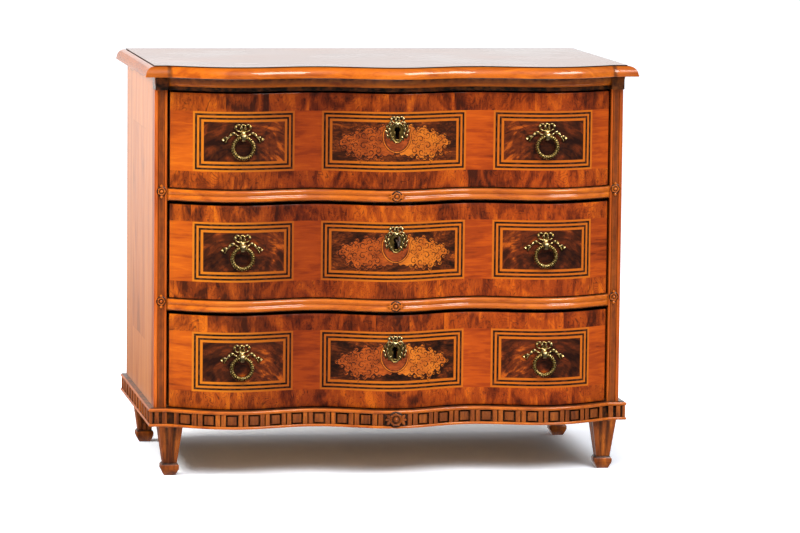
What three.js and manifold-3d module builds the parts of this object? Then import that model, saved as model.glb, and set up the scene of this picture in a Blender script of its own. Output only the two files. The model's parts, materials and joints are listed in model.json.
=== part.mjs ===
// Serpentine chest of three drawers on square tapered legs, about 1780.
// Its fluted corner posts, bead-moulded rails and fret plinth frame three curved drawer fronts, each
// with two wreath rings hung from ribbon bows, an escutcheon and a lock. A key sits in the middle lock.
// Millimetres, +X to the right, the front faces -Y and +Z is up.
import * as THREE from 'three';
import { mergeVertices } from 'three/addons/utils/BufferGeometryUtils.js';
import Module from 'manifold-3d';

const wasm = await Module();
wasm.setup();

// Overall plan of the case
const topWidth = 1060;
const topDepth = 592;
const sideOverhang = 24.4;
const frontOverhang = 46;
const backOverhang = 10;
const edgeDepth = 21.5;

// Heights, from the floor up
const legHeight = 107;
const plinthHeight = 39;
const drawerOpening = 207.5;
const railHeight = 26.5;
const corniceHeight = 29.5;
const topThickness = 24;
const drawerCount = 3;

// Plan of the serpentine front: how far it stands forward of the corner posts
const centreBulge = 74;
const hollowBulge = 30;
const lobeBulge = 62;
const hollowShare = 0.36;
const lobeShare = 0.69;
const waveSteps = 26;

// Case boards
const postWidth = 27;
const postDepth = 44;
const sideThickness = 18;
const backThickness = 10;
const bottomThickness = 12;
const dustThickness = 10;
const guideHeight = 22;
const kickerHeight = 20;
const ovoloSteps = 5;
const ovoloLip = 4;
const coveReach = 13;
const coveHeight = 22;
const coveFoot = 4;
const coveSteps = 3;
const coveReturnShare = 0.2;

// Fluted posts and their rosettes
const fluteDepth = 3.5;
const fluteSteps = 4;
const postChamfer = 3;
const quirk = 1.2;
const postRosetteRadius = 7.5;
const postRosetteRise = 3;
const postPetals = 6;

// Bead-moulded rails
const railProud = 1;
const beadRadius = 5.4;
const beadSteps = 3;
const railRosetteRadius = 10.5;
const railRosetteRise = 4;
const railPetals = 8;
const leafLength = 12;
const leafWidth = 8;

// Fret plinth
const plinthFrontProud = 20;
const plinthSideProud = 13;
const plinthWidth = 38;
const upperBand = 8;
const lowerBand = 6;
const bandProud = 2;
const fretFirst = 62;
const fretEnd = 35.8;
const fretCount = 9;
const pitWidth = 27;
const pitHeight = 21;
const pitDepth = 7;
const tileSize = 17;
const tileSetIn = 1.5;
const slopeReach = 3;
const cornerSlot = 10;
const cornerSlotPitch = 20;
const cornerSlots = 2;
const flowerRadius = 12;
const flowerRise = 7;
const flowerPetals = 8;
const scrollLength = 11;

// Tapered legs and block feet
const legTop = 52;
const legAnkle = 29;
const footTop = 26;
const footCap = 38;
const footCapHeight = 9;
const footSole = 24;
const footNeck = 33;
const footNeckHeight = 3;
const legSideInset = 21.6;
const legFrontInset = 2;
const legRearInset = 27;
const legFlutes = 2;
const legFluteDepth = 2;
const legFluteWidthShare = 0.2;

// Drawers
const frontThickness = 24;
const frontRecess = 1;
const sideGap = 3;
const lowerGap = 1.5;
const upperGap = 2.5;
const frontRounding = 2;
const frontBlockWidth = 30;
const frontBlockDepth = 18;
const blockSlope = 6;
const boxInset = 3;
const boxSide = 12;
const boxHeadroom = 19.5;
const rearClearance = 16;
const boxBottom = 6;
const bottomLift = 6;
const grooveDepth = 5;
const backDrop = 10;
const runningGap = 0.3;
const guideGap = 1.5;
const bottomGap = 0.6;

// Ring pulls
const pullSpread = 326;
const pullLift = 89;
const ringRadius = 22;
const ringSection = 4.5;
const ringGap = 0.6;
const ringSteps = 16;
const ringSides = 6;
const pivotRadius = 2.8;
const pivotLength = 13;
const strapWidth = 10;
const strapOuter = 4.8;
const strapClearance = 0.35;
const strapSides = 10;
const plateThickness = 3;
const ribbonWidth = 5;
const ribbonSteps = 6;
const loopSegments = 4;
const ovalSegments = 6;
const loopSpread = 8.5;
const loopRise = 20;
const loopHalfWidth = 8;
const loopHalfHeight = 10.5;
const loopHole = 4;
const tailReach = 44;
const tailDrop = 14;
const knotWidth = 7;
const knotHeight = 6;
const knotDepth = 6;
const knotRise = 8.5;
const seatGap = 0.3;

// Escutcheons, keyholes and locks
const keyholeLift = 126;
const keyholeRadius = 4.4;
const keyholeSlot = 6;
const keyholeDrop = 15;
const ovalWidth = 25;
const ovalHeight = 40;
const ovalDrop = 13;
const sprayWidth = 52;
const sprayBand = 8;
const badgeThickness = 2.5;
const rimThickness = 3.7;
const rimBand = 2.5;
const badgeLoopSpread = 7.6;
const badgeLoopRise = 4.8;
const badgeLoopWidth = 8;
const badgeLoopHeight = 5.6;
const badgeLoopHole = 2.8;
const lockWidth = 90;
const lockDrop = 28;
const lockDepth = 13;
const lockLetIn = 3;
const lockWall = 2;
const lockClearance = 0.5;
const boltWidth = 24;
const boltThickness = 5;
const boltClearance = 0.3;
const boltTravel = 8;
const wardRadius = 11;
const wardDepth = 8;

// Key of the middle drawer
const keyedDrawer = 1;
const shankRadius = 2.6;
const keyReach = 34;
const keyBowWidth = 20;
const keyBowHeight = 26;
const keyBowSection = 3.4;
const bitLength = 6.5;
const bitReach = 9.5;
const bitThickness = 3;
const collarRadius = 4;
const collarLength = 3;

// One overrun for every cut, and the sides of small round pieces
const overrun = 2;
const roundSides = 12;

// Planes and lines that the pieces share
const caseHalf = topWidth / 2 - sideOverhang;
const boxHeight = drawerOpening - boxHeadroom;
const openingHalf = caseHalf - postWidth;
const fretPitch = (openingHalf - fretEnd - fretFirst) / (fretCount - 1);
const sideInner = caseHalf - sideThickness;
const arrisHalf = topWidth / 2 - edgeDepth;
const postFace = frontOverhang;
const postBack = postFace + postDepth;
const caseBack = topDepth - backOverhang;
const backInner = caseBack - backThickness;
const plinthTop = legHeight + plinthHeight;
const floorPitch = drawerOpening + railHeight;
const topUnder = plinthTop + drawerCount * floorPitch - railHeight + corniceHeight;
const topFace = topUnder + topThickness;
const corniceUnder = topUnder - corniceHeight;
const drawerFace = postFace + frontRecess;
const frontHalf = openingHalf - sideGap;
const frontHeight = drawerOpening - lowerGap - upperGap;
const halfTurn = Math.PI;

// Materials
const walnut = (name, color, roughness = 0.35) => {
  const material = new THREE.MeshStandardMaterial({ color, roughness, metalness: 0 });
  material.name = name;
  return material;
};
const metal = (name, color, roughness) => {
  const material = new THREE.MeshStandardMaterial({ color, roughness, metalness: 1 });
  material.name = name;
  return material;
};
const finishes = {
  polished: walnut('polished_walnut', 0xc8691e),
  moulding: walnut('walnut_moulding', 0xd9772a),
  veneer: walnut('drawer_veneer', 0xa3481a),
  plinth: walnut('plinth_walnut', 0xb86024),
  pine: walnut('carcass_softwood', 0xc9a878, 0.75),
  brass: metal('gilt_brass', 0xc9a55c, 0.3),
  iron: metal('lock_iron', 0x5a5856, 0.5),
};

// Solids and geometry

function toSolid(geometry) {
  const bare = geometry.clone();
  bare.deleteAttribute('normal');
  bare.deleteAttribute('uv');
  const welded = mergeVertices(bare);
  return new wasm.Manifold(new wasm.Mesh({
    numProp: 3,
    vertProperties: new Float32Array(welded.attributes.position.array),
    triVerts: new Uint32Array(welded.index.array),
  }));
}

function toGeometry(solid) {
  const mesh = solid.getMesh();
  const geometry = new THREE.BufferGeometry();
  geometry.setAttribute('position', new THREE.BufferAttribute(new Float32Array(mesh.vertProperties), 3));
  geometry.setIndex(new THREE.BufferAttribute(new Uint32Array(mesh.triVerts), 1));
  geometry.computeVertexNormals();
  return geometry;
}

function joined(solids) {
  return solids.reduce((whole, next) => whole.add(next));
}

function cutBy(solid, cutters) {
  return cutters.reduce((rest, cutter) => rest.subtract(cutter), solid);
}

// A box from its low corner to its high corner
function boxBetween(low, high) {
  const size = high.map((value, index) => value - low[index]);
  const box = new THREE.BoxGeometry(size[0], size[1], size[2]);
  box.translate((low[0] + high[0]) / 2, (low[1] + high[1]) / 2, (low[2] + high[2]) / 2);
  return box;
}

function signedVolume(positions, indices) {
  const point = (index) => new THREE.Vector3().fromArray(positions, index * 3);
  let total = 0;
  for (let i = 0; i < indices.length; i += 3) {
    const [a, b, c] = [point(indices[i]), point(indices[i + 1]), point(indices[i + 2])];
    total += a.dot(b.cross(c));
  }
  return total;
}

// Joins a row of like rings into one closed skin; the flat outline closes both ends
function loft(rings, outline) {
  const flat = THREE.ShapeUtils.isClockWise(outline) ? [...outline].reverse() : outline;
  const rows = THREE.ShapeUtils.isClockWise(outline) ? rings.map((ring) => [...ring].reverse()) : rings;
  const count = flat.length;
  const positions = rows.flat().flatMap((point) => point.toArray());
  const indices = [];
  for (let row = 0; row + 1 < rows.length; row += 1) {
    for (let side = 0; side < count; side += 1) {
      const a = row * count + side;
      const b = row * count + ((side + 1) % count);
      indices.push(a, b, b + count, a, b + count, a + count);
    }
  }
  const last = (rows.length - 1) * count;
  for (const [a, b, c] of THREE.ShapeUtils.triangulateShape(flat, [])) {
    indices.push(a, c, b, last + a, last + b, last + c);
  }
  if (signedVolume(positions, indices) < 0) {
    indices.reverse();
  }
  const geometry = new THREE.BufferGeometry();
  geometry.setAttribute('position', new THREE.Float32BufferAttribute(positions, 3));
  geometry.setIndex(indices);
  return geometry;
}

// Carries a moulding profile of [outward, up] points along stations that hold a point and a direction
function runMoulding(profile, stations) {
  const rings = stations.map((station) => profile.map(([outward, up]) => new THREE.Vector3(
    station.x + outward * station.outX,
    station.y + outward * station.outY,
    up,
  )));
  return loft(rings, profile.map(([outward, up]) => new THREE.Vector2(outward, up)));
}

// An upright flat shape, drawn in x and z, with its back at y and its face towards -Y
function uprightPlate(shape, backY, thickness, curveSegments = loopSegments) {
  const plate = new THREE.ExtrudeGeometry(shape, { depth: thickness, bevelEnabled: false, curveSegments });
  plate.rotateX(halfTurn / 2);
  plate.translate(0, backY, 0);
  return plate;
}

// The serpentine plan

const hollowX = openingHalf * hollowShare;
const lobeX = openingHalf * lobeShare;

function easeBetween(from, to, share) {
  return from + (to - from) * (1 - Math.cos(halfTurn * share)) / 2;
}

function bulgeAt(x) {
  const reach = Math.abs(x);
  if (reach >= openingHalf) {
    return 0;
  }
  if (reach <= hollowX) {
    return easeBetween(centreBulge, hollowBulge, reach / hollowX);
  }
  if (reach <= lobeX) {
    return easeBetween(hollowBulge, lobeBulge, (reach - hollowX) / (lobeX - hollowX));
  }
  return lobeBulge * Math.cos((halfTurn / 2) * (reach - lobeX) / (openingHalf - lobeX));
}

const waveX = Array.from({ length: waveSteps + 1 }, (_, step) => openingHalf * (2 * step / waveSteps - 1));

// The plan as the boards are cut, in short straight runs
function runAt(x) {
  const place = THREE.MathUtils.clamp((x / openingHalf + 1) * waveSteps / 2, 0, waveSteps);
  const step = Math.min(Math.floor(place), waveSteps - 1);
  return THREE.MathUtils.lerp(bulgeAt(waveX[step]), bulgeAt(waveX[step + 1]), place - step);
}

// Stations of a moulding whose front stands at cornerY over the posts and follows the wave between them
function frontStations(cornerX, cornerY, outX) {
  const straight = { outX: 0, outY: -1 };
  return [
    { x: -cornerX, y: cornerY, outX: -outX, outY: -1 },
    ...waveX.map((x) => ({ x, y: cornerY - bulgeAt(x), ...straight })),
    { x: cornerX, y: cornerY, outX, outY: -1 },
  ];
}

// Stations of a side moulding, from its mitre at the front corner to its square back end
function sideStations(side, cornerX, cornerY, backY) {
  return [
    { x: side * cornerX, y: cornerY, outX: side, outY: -1 },
    { x: side * cornerX, y: backY, outX: side, outY: 0 },
  ];
}

// A board with a serpentine front edge and straight sides and back
function serpentineBoard(halfWidth, frontY, backY, low, high) {
  const outline = new THREE.Shape();
  outline.moveTo(-halfWidth, backY);
  outline.lineTo(-halfWidth, frontY);
  for (const x of waveX.filter((value) => Math.abs(value) < halfWidth)) {
    outline.lineTo(x, frontY - bulgeAt(x));
  }
  outline.lineTo(halfWidth, frontY);
  outline.lineTo(halfWidth, backY);
  outline.closePath();
  const board = new THREE.ExtrudeGeometry(outline, { depth: high - low, bevelEnabled: false });
  board.translate(0, 0, low);
  return board;
}

// A low carved flower or rosette that faces -Y, its rim scalloped into petals and its heart raised
function carvedFlower(radius, rise, petals, sink) {
  const pointsPerPetal = 2;
  const rimShares = [1, 0.8, 0.42, 0.24];
  const riseShares = [0, 0.66, 0.45, 1];
  const ringAt = (share, lift, scallop) => Array.from({ length: petals * pointsPerPetal }, (_, index) => {
    const angle = 2 * halfTurn * index / (petals * pointsPerPetal);
    const reach = radius * share * (1 + scallop * Math.cos(petals * angle));
    return new THREE.Vector3(reach * Math.cos(angle), -lift, reach * Math.sin(angle));
  });
  const scallopShare = 0.1;
  const rings = [ringAt(rimShares[0], -sink, scallopShare)];
  rimShares.forEach((share, index) => {
    rings.push(ringAt(share, rise * riseShares[index], index < 3 ? scallopShare : 0));
  });
  return loft(rings, rings[0].map((point) => new THREE.Vector2(point.x, point.z)));
}

// A carved leaf lying against an upright face, pointing along +X from its root
function carvedLeaf(length, width, rise) {
  const leaf = new THREE.SphereGeometry(1, 6, 4);
  leaf.scale(length / 2, rise, width / 2);
  leaf.translate(length / 2, 0, 0);
  return leaf;
}

// Top board and its edge moulding

function topPanel() {
  return serpentineBoard(arrisHalf, edgeDepth, topDepth, topUnder, topFace);
}

function edgeProfile() {
  const springing = topUnder + ovoloLip;
  const arc = Array.from({ length: ovoloSteps + 1 }, (_, step) => {
    const angle = (halfTurn / 2) * (1 - step / ovoloSteps);
    return [edgeDepth * Math.cos(angle), springing + (topFace - springing) * Math.sin(angle)];
  });
  return [[0, topUnder], ...arc, [edgeDepth, topUnder]];
}

function edgeMouldingFront() {
  return runMoulding(edgeProfile(), frontStations(arrisHalf, edgeDepth, 1));
}

function edgeMouldingSide(side) {
  return runMoulding(edgeProfile(), sideStations(side, arrisHalf, edgeDepth, topDepth));
}

// Cornice: the top rail with a cove on its face, over the posts and the upper drawer

function corniceProfile() {
  const coveUnder = topUnder - coveHeight;
  const cove = Array.from({ length: coveSteps + 1 }, (_, step) => {
    const angle = (halfTurn / 2) * step / coveSteps;
    return [
      coveFoot + (coveReach - coveFoot) * (1 - Math.cos(angle)),
      coveUnder + coveHeight * Math.sin(angle),
    ];
  });
  const back = -postDepth;
  return [[back, corniceUnder], [0, corniceUnder], [0, coveUnder], ...cove, [back, topUnder]];
}

function cornice() {
  const profile = corniceProfile();
  const back = profile[0][0];
  const stations = frontStations(caseHalf, postFace, coveReturnShare);
  const rings = stations.map((station) => profile.map(([outward, up]) => new THREE.Vector3(
    station.x + Math.max(outward, 0) * station.outX,
    outward === back ? postBack : station.y - outward,
    up,
  )));
  const rail = toSolid(loft(rings, profile.map(([outward, up]) => new THREE.Vector2(outward, up))));
  return toGeometry(rail.subtract(strikeSlot(corniceUnder)));
}

// Side boards, with the drawer guides and the kicker strip glued to their inner faces

function sideBoard(side) {
  const board = boxBetween([sideInner, postBack, plinthTop], [caseHalf, caseBack, topUnder]);
  const guideInner = frontHalf - boxInset + guideGap;
  const guides = [];
  for (let level = 0; level < drawerCount; level += 1) {
    const foot = plinthTop + level * floorPitch;
    guides.push(boxBetween(
      [guideInner, postBack, foot],
      [sideInner + overrun, backInner, foot + guideHeight],
    ));
  }
  const kickerInner = guideInner - boxSide;
  guides.push(boxBetween(
    [kickerInner, postBack, corniceUnder],
    [sideInner + overrun, backInner, corniceUnder + kickerHeight],
  ));
  const whole = joined([board, ...guides].map(toSolid));
  return toGeometry(side > 0 ? whole : whole.mirror([1, 0, 0]));
}

function backBoard() {
  return boxBetween([-sideInner, backInner, plinthTop], [sideInner, caseBack, topUnder]);
}

// Corner posts: a flute between two reeds, stopped by a rosette beside each rail

function postSection() {
  const reed = (postWidth - postChamfer) / 4;
  const fluteFrom = reed + quirk;
  const fluteWidth = postWidth - postChamfer - 2 * (reed + quirk);
  const flute = Array.from({ length: fluteSteps + 1 }, (_, step) => {
    const share = step / fluteSteps;
    return [fluteFrom + fluteWidth * share, fluteDepth * Math.sin(halfTurn * share)];
  });
  return [
    [0, postDepth], [0, 0], [reed, 0], [reed, quirk],
    [fluteFrom, quirk],
    ...flute.slice(1, -1),
    [fluteFrom + fluteWidth, quirk],
    [fluteFrom + fluteWidth + quirk, quirk], [fluteFrom + fluteWidth + quirk, 0],
    [postWidth - postChamfer, 0], [postWidth, postChamfer], [postWidth, postDepth],
  ];
}

function cornerPost(side) {
  const outline = new THREE.Shape(postSection().map(([x, y]) => new THREE.Vector2(x, y)));
  const shaft = new THREE.ExtrudeGeometry(outline, { depth: corniceUnder - plinthTop, bevelEnabled: false });
  shaft.translate(openingHalf, postFace, plinthTop);
  const pieces = [toSolid(shaft)];
  for (let level = 1; level < drawerCount; level += 1) {
    const rosette = carvedFlower(postRosetteRadius, postRosetteRise, postPetals, fluteDepth + overrun);
    const middle = (postWidth - postChamfer) / 2;
    rosette.translate(openingHalf + middle, postFace, plinthTop + level * floorPitch - railHeight / 2);
    pieces.push(toSolid(rosette));
  }
  const whole = joined(pieces);
  return toGeometry(side > 0 ? whole : whole.mirror([1, 0, 0]));
}

// Serpentine drawer rails: two beads between fillets, and a carved rosette with a leaf on each side

function railProfile() {
  const fillet = (railHeight / 2 - 2 * beadRadius) / 2;
  const bead = (middle) => Array.from({ length: beadSteps + 1 }, (_, step) => {
    const angle = halfTurn * (step / beadSteps - 0.5);
    return [beadRadius * Math.cos(angle), middle + beadRadius * Math.sin(angle)];
  });
  const first = fillet + beadRadius;
  return [
    [-postDepth, 0], [0, 0],
    ...bead(first),
    ...bead(railHeight - first),
    [0, railHeight], [-postDepth, railHeight],
  ];
}

// The pocket in a rail's underside that takes the bolt of the lock below it
function strikeSlot(railUnder) {
  const reachX = boltWidth / 2 + lockClearance;
  const [near, far] = boltSpan();
  return toSolid(boxBetween(
    [-reachX, near - lockClearance, railUnder - overrun],
    [reachX, far + lockClearance, railUnder + boltTravel],
  ));
}

function drawerRail(level) {
  const profile = railProfile();
  const foot = plinthTop + level * floorPitch - railHeight;
  const faceY = postFace + railProud;
  const rings = waveX.map((x) => profile.map(([outward, up]) => new THREE.Vector3(
    x,
    outward < 0 ? postBack : faceY - bulgeAt(x) - outward,
    foot + up,
  )));
  const rail = toSolid(loft(rings, profile.map(([outward, up]) => new THREE.Vector2(outward, up))));
  const face = faceY - centreBulge - beadRadius;
  const rosette = carvedFlower(railRosetteRadius, railRosetteRise, railPetals, beadRadius);
  rosette.translate(0, face, foot + railHeight / 2);
  const leaves = [-1, 1].map((side) => {
    const leaf = carvedLeaf(leafLength, leafWidth, railRosetteRise / 2);
    leaf.rotateY(side < 0 ? halfTurn : 0);
    leaf.translate(side * (railRosetteRadius - quirk), face, foot + railHeight / 2);
    return toSolid(leaf);
  });
  return toGeometry(joined([rail, toSolid(rosette), ...leaves]).subtract(strikeSlot(foot)));
}

// Boards between and under the drawers

function dustBoard(level) {
  const high = plinthTop + level * floorPitch;
  return boxBetween([-sideInner, postBack, high - dustThickness], [sideInner, backInner, high]);
}

function bottomBoard() {
  const reach = caseHalf + plinthSideProud - plinthWidth;
  const nearY = postFace - plinthFrontProud + plinthWidth + seatGap;
  const farY = caseBack - plinthWidth;
  return serpentineBoard(reach, nearY, farY, plinthTop - bottomThickness, plinthTop);
}

// Plinth: a frame of thick mouldings, its face cut into framed squares

function plinthProfile() {
  const half = bandProud;
  return [
    [-plinthWidth, legHeight], [-half / 2, legHeight], [0, legHeight + half / 2],
    [0, legHeight + lowerBand], [-bandProud, legHeight + lowerBand],
    [-bandProud, plinthTop - upperBand], [0, plinthTop - upperBand],
    [0, plinthTop - half], [-half, plinthTop], [-plinthWidth, plinthTop],
  ];
}

const fretMiddle = (legHeight + lowerBand + plinthTop - upperBand) / 2;

// A cutter that leaves a square tile standing in a pit, in a face that looks along -Y at the origin
function pitCutter() {
  const pit = boxBetween(
    [-pitWidth / 2, -overrun, -pitHeight / 2],
    [pitWidth / 2, pitDepth, pitHeight / 2],
  );
  const tile = boxBetween(
    [-tileSize / 2, tileSetIn, -tileSize / 2],
    [tileSize / 2, pitDepth + overrun, tileSize / 2],
  );
  return toSolid(pit).subtract(toSolid(tile));
}

function slotCutter(width, depth) {
  return toSolid(boxBetween([-width / 2, -overrun, -pitHeight / 2], [width / 2, depth, pitHeight / 2]));
}

function placed(cutter, x, y, z, turn) {
  const turned = new THREE.Matrix4().makeRotationZ(turn);
  const matrix = new THREE.Matrix4().makeTranslation(x, y, z).multiply(turned);
  return cutter.transform(matrix.elements);
}

function plinthFront() {
  const faceY = postFace - plinthFrontProud;
  const cornerX = caseHalf + plinthSideProud;
  const profile = plinthProfile();
  const stations = frontStations(cornerX, faceY, 1);
  const body = toSolid(runMoulding(profile, stations));
  const groundAt = (x) => faceY + bandProud - runAt(x);
  const slopeAt = (x) => Math.atan2(groundAt(x + slopeReach) - groundAt(x - slopeReach), 2 * slopeReach);
  const cutters = [];
  for (const side of [-1, 1]) {
    for (let index = 0; index < fretCount; index += 1) {
      const x = side * (fretFirst + index * fretPitch);
      cutters.push(placed(pitCutter(), x, groundAt(x), fretMiddle, slopeAt(x)));
    }
    for (let index = 0; index < cornerSlots; index += 1) {
      const x = side * (cornerX - cornerSlot - index * cornerSlotPitch);
      cutters.push(placed(slotCutter(cornerSlot, pitDepth), x, faceY + bandProud, fretMiddle, 0));
    }
  }
  const heart = carvedFlower(flowerRadius, flowerRise, flowerPetals, pitDepth);
  const centreY = faceY + bandProud - centreBulge;
  heart.translate(0, centreY, fretMiddle);
  const scrolls = [-1, 1].map((side) => {
    const scroll = carvedLeaf(scrollLength, pitHeight - upperBand, flowerRise / 2);
    scroll.rotateY(side < 0 ? halfTurn : 0);
    scroll.translate(side * (flowerRadius - bandProud), centreY, fretMiddle);
    return toSolid(scroll);
  });
  return toGeometry(joined([cutBy(body, cutters), toSolid(heart), ...scrolls]));
}

function plinthSide(side) {
  const faceX = caseHalf + plinthSideProud;
  const faceY = postFace - plinthFrontProud;
  const body = toSolid(runMoulding(plinthProfile(), sideStations(1, faceX, faceY, caseBack)));
  const run = caseBack - faceY;
  const count = Math.floor((run - cornerSlot) / fretPitch);
  const pitch = run / count;
  const cutters = [];
  for (let index = 0; index < count; index += 1) {
    const y = faceY + pitch * (index + 0.5);
    cutters.push(placed(pitCutter(), faceX - bandProud, y, fretMiddle, halfTurn / 2));
  }
  const whole = cutBy(body, cutters);
  return toGeometry(side > 0 ? whole : whole.mirror([1, 0, 0]));
}

function plinthBack() {
  const reach = caseHalf + plinthSideProud - plinthWidth;
  return boxBetween([-reach, caseBack - plinthWidth, legHeight], [reach, caseBack, plinthTop]);
}

// Legs

function legRing(width, z) {
  const half = width / 2;
  const upward = new THREE.Vector3(0, 0, 1);
  const points = [];
  for (let face = 0; face < 4; face += 1) {
    const turn = face * halfTurn / 2;
    const add = (along, depth) => {
      points.push(new THREE.Vector3(along, depth - half, z).applyAxisAngle(upward, turn));
    };
    add(-half, 0);
    for (let flute = 0; flute < legFlutes; flute += 1) {
      const middle = width * ((flute + 1) / (legFlutes + 1) - 0.5);
      const reach = width * legFluteWidthShare / 2;
      add(middle - reach, 0);
      add(middle, legFluteDepth * width / legTop);
      add(middle + reach, 0);
    }
  }
  return points;
}

// A leg and its foot, with a stub that rises inside the corner of the plinth to the bottom board
function leg(side, row) {
  const shaft = [
    legRing(legTop, legHeight),
    legRing(legAnkle, footTop),
    legRing(legAnkle, footTop - footNeckHeight),
  ];
  const square = (width, z) => [[-1, -1], [1, -1], [1, 1], [-1, 1]].map(([sx, sy]) => (
    new THREE.Vector3(sx * width / 2, sy * width / 2, z)
  ));
  const capTop = footTop - footNeckHeight;
  const foot = [
    square(footNeck, footTop),
    square(footCap, capTop),
    square(footCap, capTop - footCapHeight),
    square(footSole, 0),
  ];
  const outlineOf = (ring) => ring.map((point) => new THREE.Vector2(point.x, point.y));
  const legX = caseHalf + plinthSideProud - legSideInset - legTop / 2;
  const frontY = postFace - plinthFrontProud + legFrontInset + legTop / 2;
  const rearY = caseBack - legRearInset - legTop / 2;
  const legY = row === 'front' ? frontY : rearY;
  const innerX = caseHalf + plinthSideProud - plinthWidth - seatGap;
  const innerFront = postFace - plinthFrontProud + plinthWidth + seatGap;
  const innerRear = caseBack - plinthWidth - seatGap;
  const stubHalf = legTop / 2 - legFluteDepth;
  const stub = boxBetween(
    [legX - stubHalf, Math.max(legY - stubHalf, innerFront), legHeight - overrun],
    [innerX, Math.min(legY + stubHalf, innerRear), plinthTop - bottomThickness],
  );
  const pieces = [loft(shaft, outlineOf(shaft[0])), loft(foot, outlineOf(foot[0]))].map(toSolid);
  const whole = joined(pieces).translate([legX, legY, 0]).add(toSolid(stub));
  return toGeometry(side > 0 ? whole : whole.mirror([1, 0, 0]));
}

// Drawer fronts, curved inside and out, with square blocks at the ends for the dovetails

function innerFaceAt(x) {
  const blockStart = frontHalf - frontBlockWidth;
  if (Math.abs(x) >= blockStart) {
    return drawerFace + frontBlockDepth;
  }
  return drawerFace + frontThickness - bulgeAt(x);
}

const frontX = (() => {
  const blockStart = frontHalf - frontBlockWidth;
  const inside = waveX.filter((x) => Math.abs(x) < blockStart - blockSlope - quirk);
  const ends = [blockStart - blockSlope, blockStart, frontHalf - frontRounding, frontHalf];
  return [...ends.map((x) => -x).reverse(), ...inside, ...ends];
})();

function drawerFoot(level) {
  return plinthTop + level * floorPitch + lowerGap;
}

function frontRing(x, foot, shift) {
  const round = Math.abs(x) >= frontHalf ? frontRounding : 0;
  const outer = drawerFace - bulgeAt(x) + round - shift;
  const inner = innerFaceAt(x) - shift;
  const low = foot;
  const high = foot + frontHeight;
  return [
    [inner, low], [outer + frontRounding, low], [outer, low + frontRounding],
    [outer, high - frontRounding], [outer + frontRounding, high], [inner, high],
  ].map(([y, z]) => new THREE.Vector3(x, y, z));
}

function frontBlank(level, shift = 0) {
  const rings = frontX.map((x) => frontRing(x, drawerFoot(level), shift));
  return toSolid(loft(rings, rings[0].map((point) => new THREE.Vector2(point.y, point.z))));
}

// A keyhole: a round eye with a slot below it, cut along Y between two planes
function keyholeCutter(z, nearY, farY) {
  const eye = new THREE.CylinderGeometry(keyholeRadius, keyholeRadius, farY - nearY, roundSides);
  eye.translate(0, (nearY + farY) / 2, z);
  const slot = boxBetween([-keyholeSlot / 2, nearY, z - keyholeDrop], [keyholeSlot / 2, farY, z]);
  return toSolid(eye).add(toSolid(slot));
}

const centreFace = drawerFace - centreBulge;
const lockFront = centreFace + frontThickness - lockLetIn;
const lockBack = lockFront + lockDepth;

function boltSpan() {
  const near = lockFront + seatGap + lockWall + boltClearance;
  return [near, near + boltThickness];
}

function keyholeHeight(level) {
  return drawerFoot(level) + keyholeLift;
}

function drawerFront(level) {
  const z = keyholeHeight(level);
  const high = drawerFoot(level) + frontHeight;
  const bed = boxBetween(
    [-lockWidth / 2 - seatGap, lockFront, z - lockDrop - seatGap],
    [lockWidth / 2 + seatGap, lockBack + frontThickness, high + overrun],
  );
  return toGeometry(cutBy(frontBlank(level), [
    toSolid(bed),
    keyholeCutter(z, centreFace - overrun, lockBack),
  ]));
}

// Drawer boxes

const boxOuter = frontHalf - boxInset;
const boxInner = boxOuter - boxSide;
const boxFront = drawerFace + frontBlockDepth;
const boxBack = backInner - rearClearance;

function boxFoot(level) {
  return plinthTop + level * floorPitch + runningGap;
}

function drawerSide(level, side) {
  const low = boxFoot(level);
  const high = low + boxHeight;
  const grooveLow = low + bottomLift - seatGap;
  const grooveHigh = low + bottomLift + boxBottom + seatGap;
  const section = new THREE.Shape([
    [boxInner, low], [boxOuter, low], [boxOuter, high], [boxInner, high],
    [boxInner, grooveHigh], [boxInner + grooveDepth, grooveHigh],
    [boxInner + grooveDepth, grooveLow], [boxInner, grooveLow],
  ].map(([x, z]) => new THREE.Vector2(side * x, z)));
  return uprightPlate(section, boxBack, boxBack - boxFront);
}

function drawerBottom(level) {
  const low = boxFoot(level) + bottomLift;
  const reach = boxInner + grooveDepth - seatGap;
  const blockStart = frontHalf - frontBlockWidth;
  const outline = new THREE.Shape();
  outline.moveTo(-reach, boxBack);
  outline.lineTo(-reach, boxFront + seatGap);
  outline.lineTo(-blockStart, boxFront + seatGap);
  const inside = frontX.filter((x) => Math.abs(x) < blockStart);
  for (const x of inside) {
    outline.lineTo(x, innerFaceAt(x) + bottomGap);
  }
  outline.lineTo(blockStart, boxFront + seatGap);
  outline.lineTo(reach, boxFront + seatGap);
  outline.lineTo(reach, boxBack);
  outline.closePath();
  const board = new THREE.ExtrudeGeometry(outline, { depth: boxBottom, bevelEnabled: false });
  board.translate(0, 0, low);
  return board;
}

function drawerBack(level) {
  const low = boxFoot(level) + bottomLift + boxBottom;
  const high = boxFoot(level) + boxHeight - backDrop;
  return boxBetween([-boxInner, boxBack - boxSide, low], [boxInner, boxBack, high]);
}

// Brass: ribbons, bows and wreath rings

// Bends a flat plate so that it lies along the serpentine face
function bentToFace(geometry) {
  const position = geometry.attributes.position;
  for (let index = 0; index < position.count; index += 1) {
    position.setY(index, position.getY(index) - runAt(position.getX(index)));
  }
  return geometry;
}

function ellipseShape(x, z, halfWidth, halfHeight, holeBand = 0) {
  const shape = new THREE.Shape();
  shape.absellipse(x, z, halfWidth, halfHeight, 0, 2 * halfTurn, false, 0);
  if (holeBand > 0) {
    const hole = new THREE.Path();
    hole.absellipse(x, z, halfWidth - holeBand, halfHeight - holeBand, 0, 2 * halfTurn, true, 0);
    shape.holes.push(hole);
  }
  return shape;
}

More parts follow.
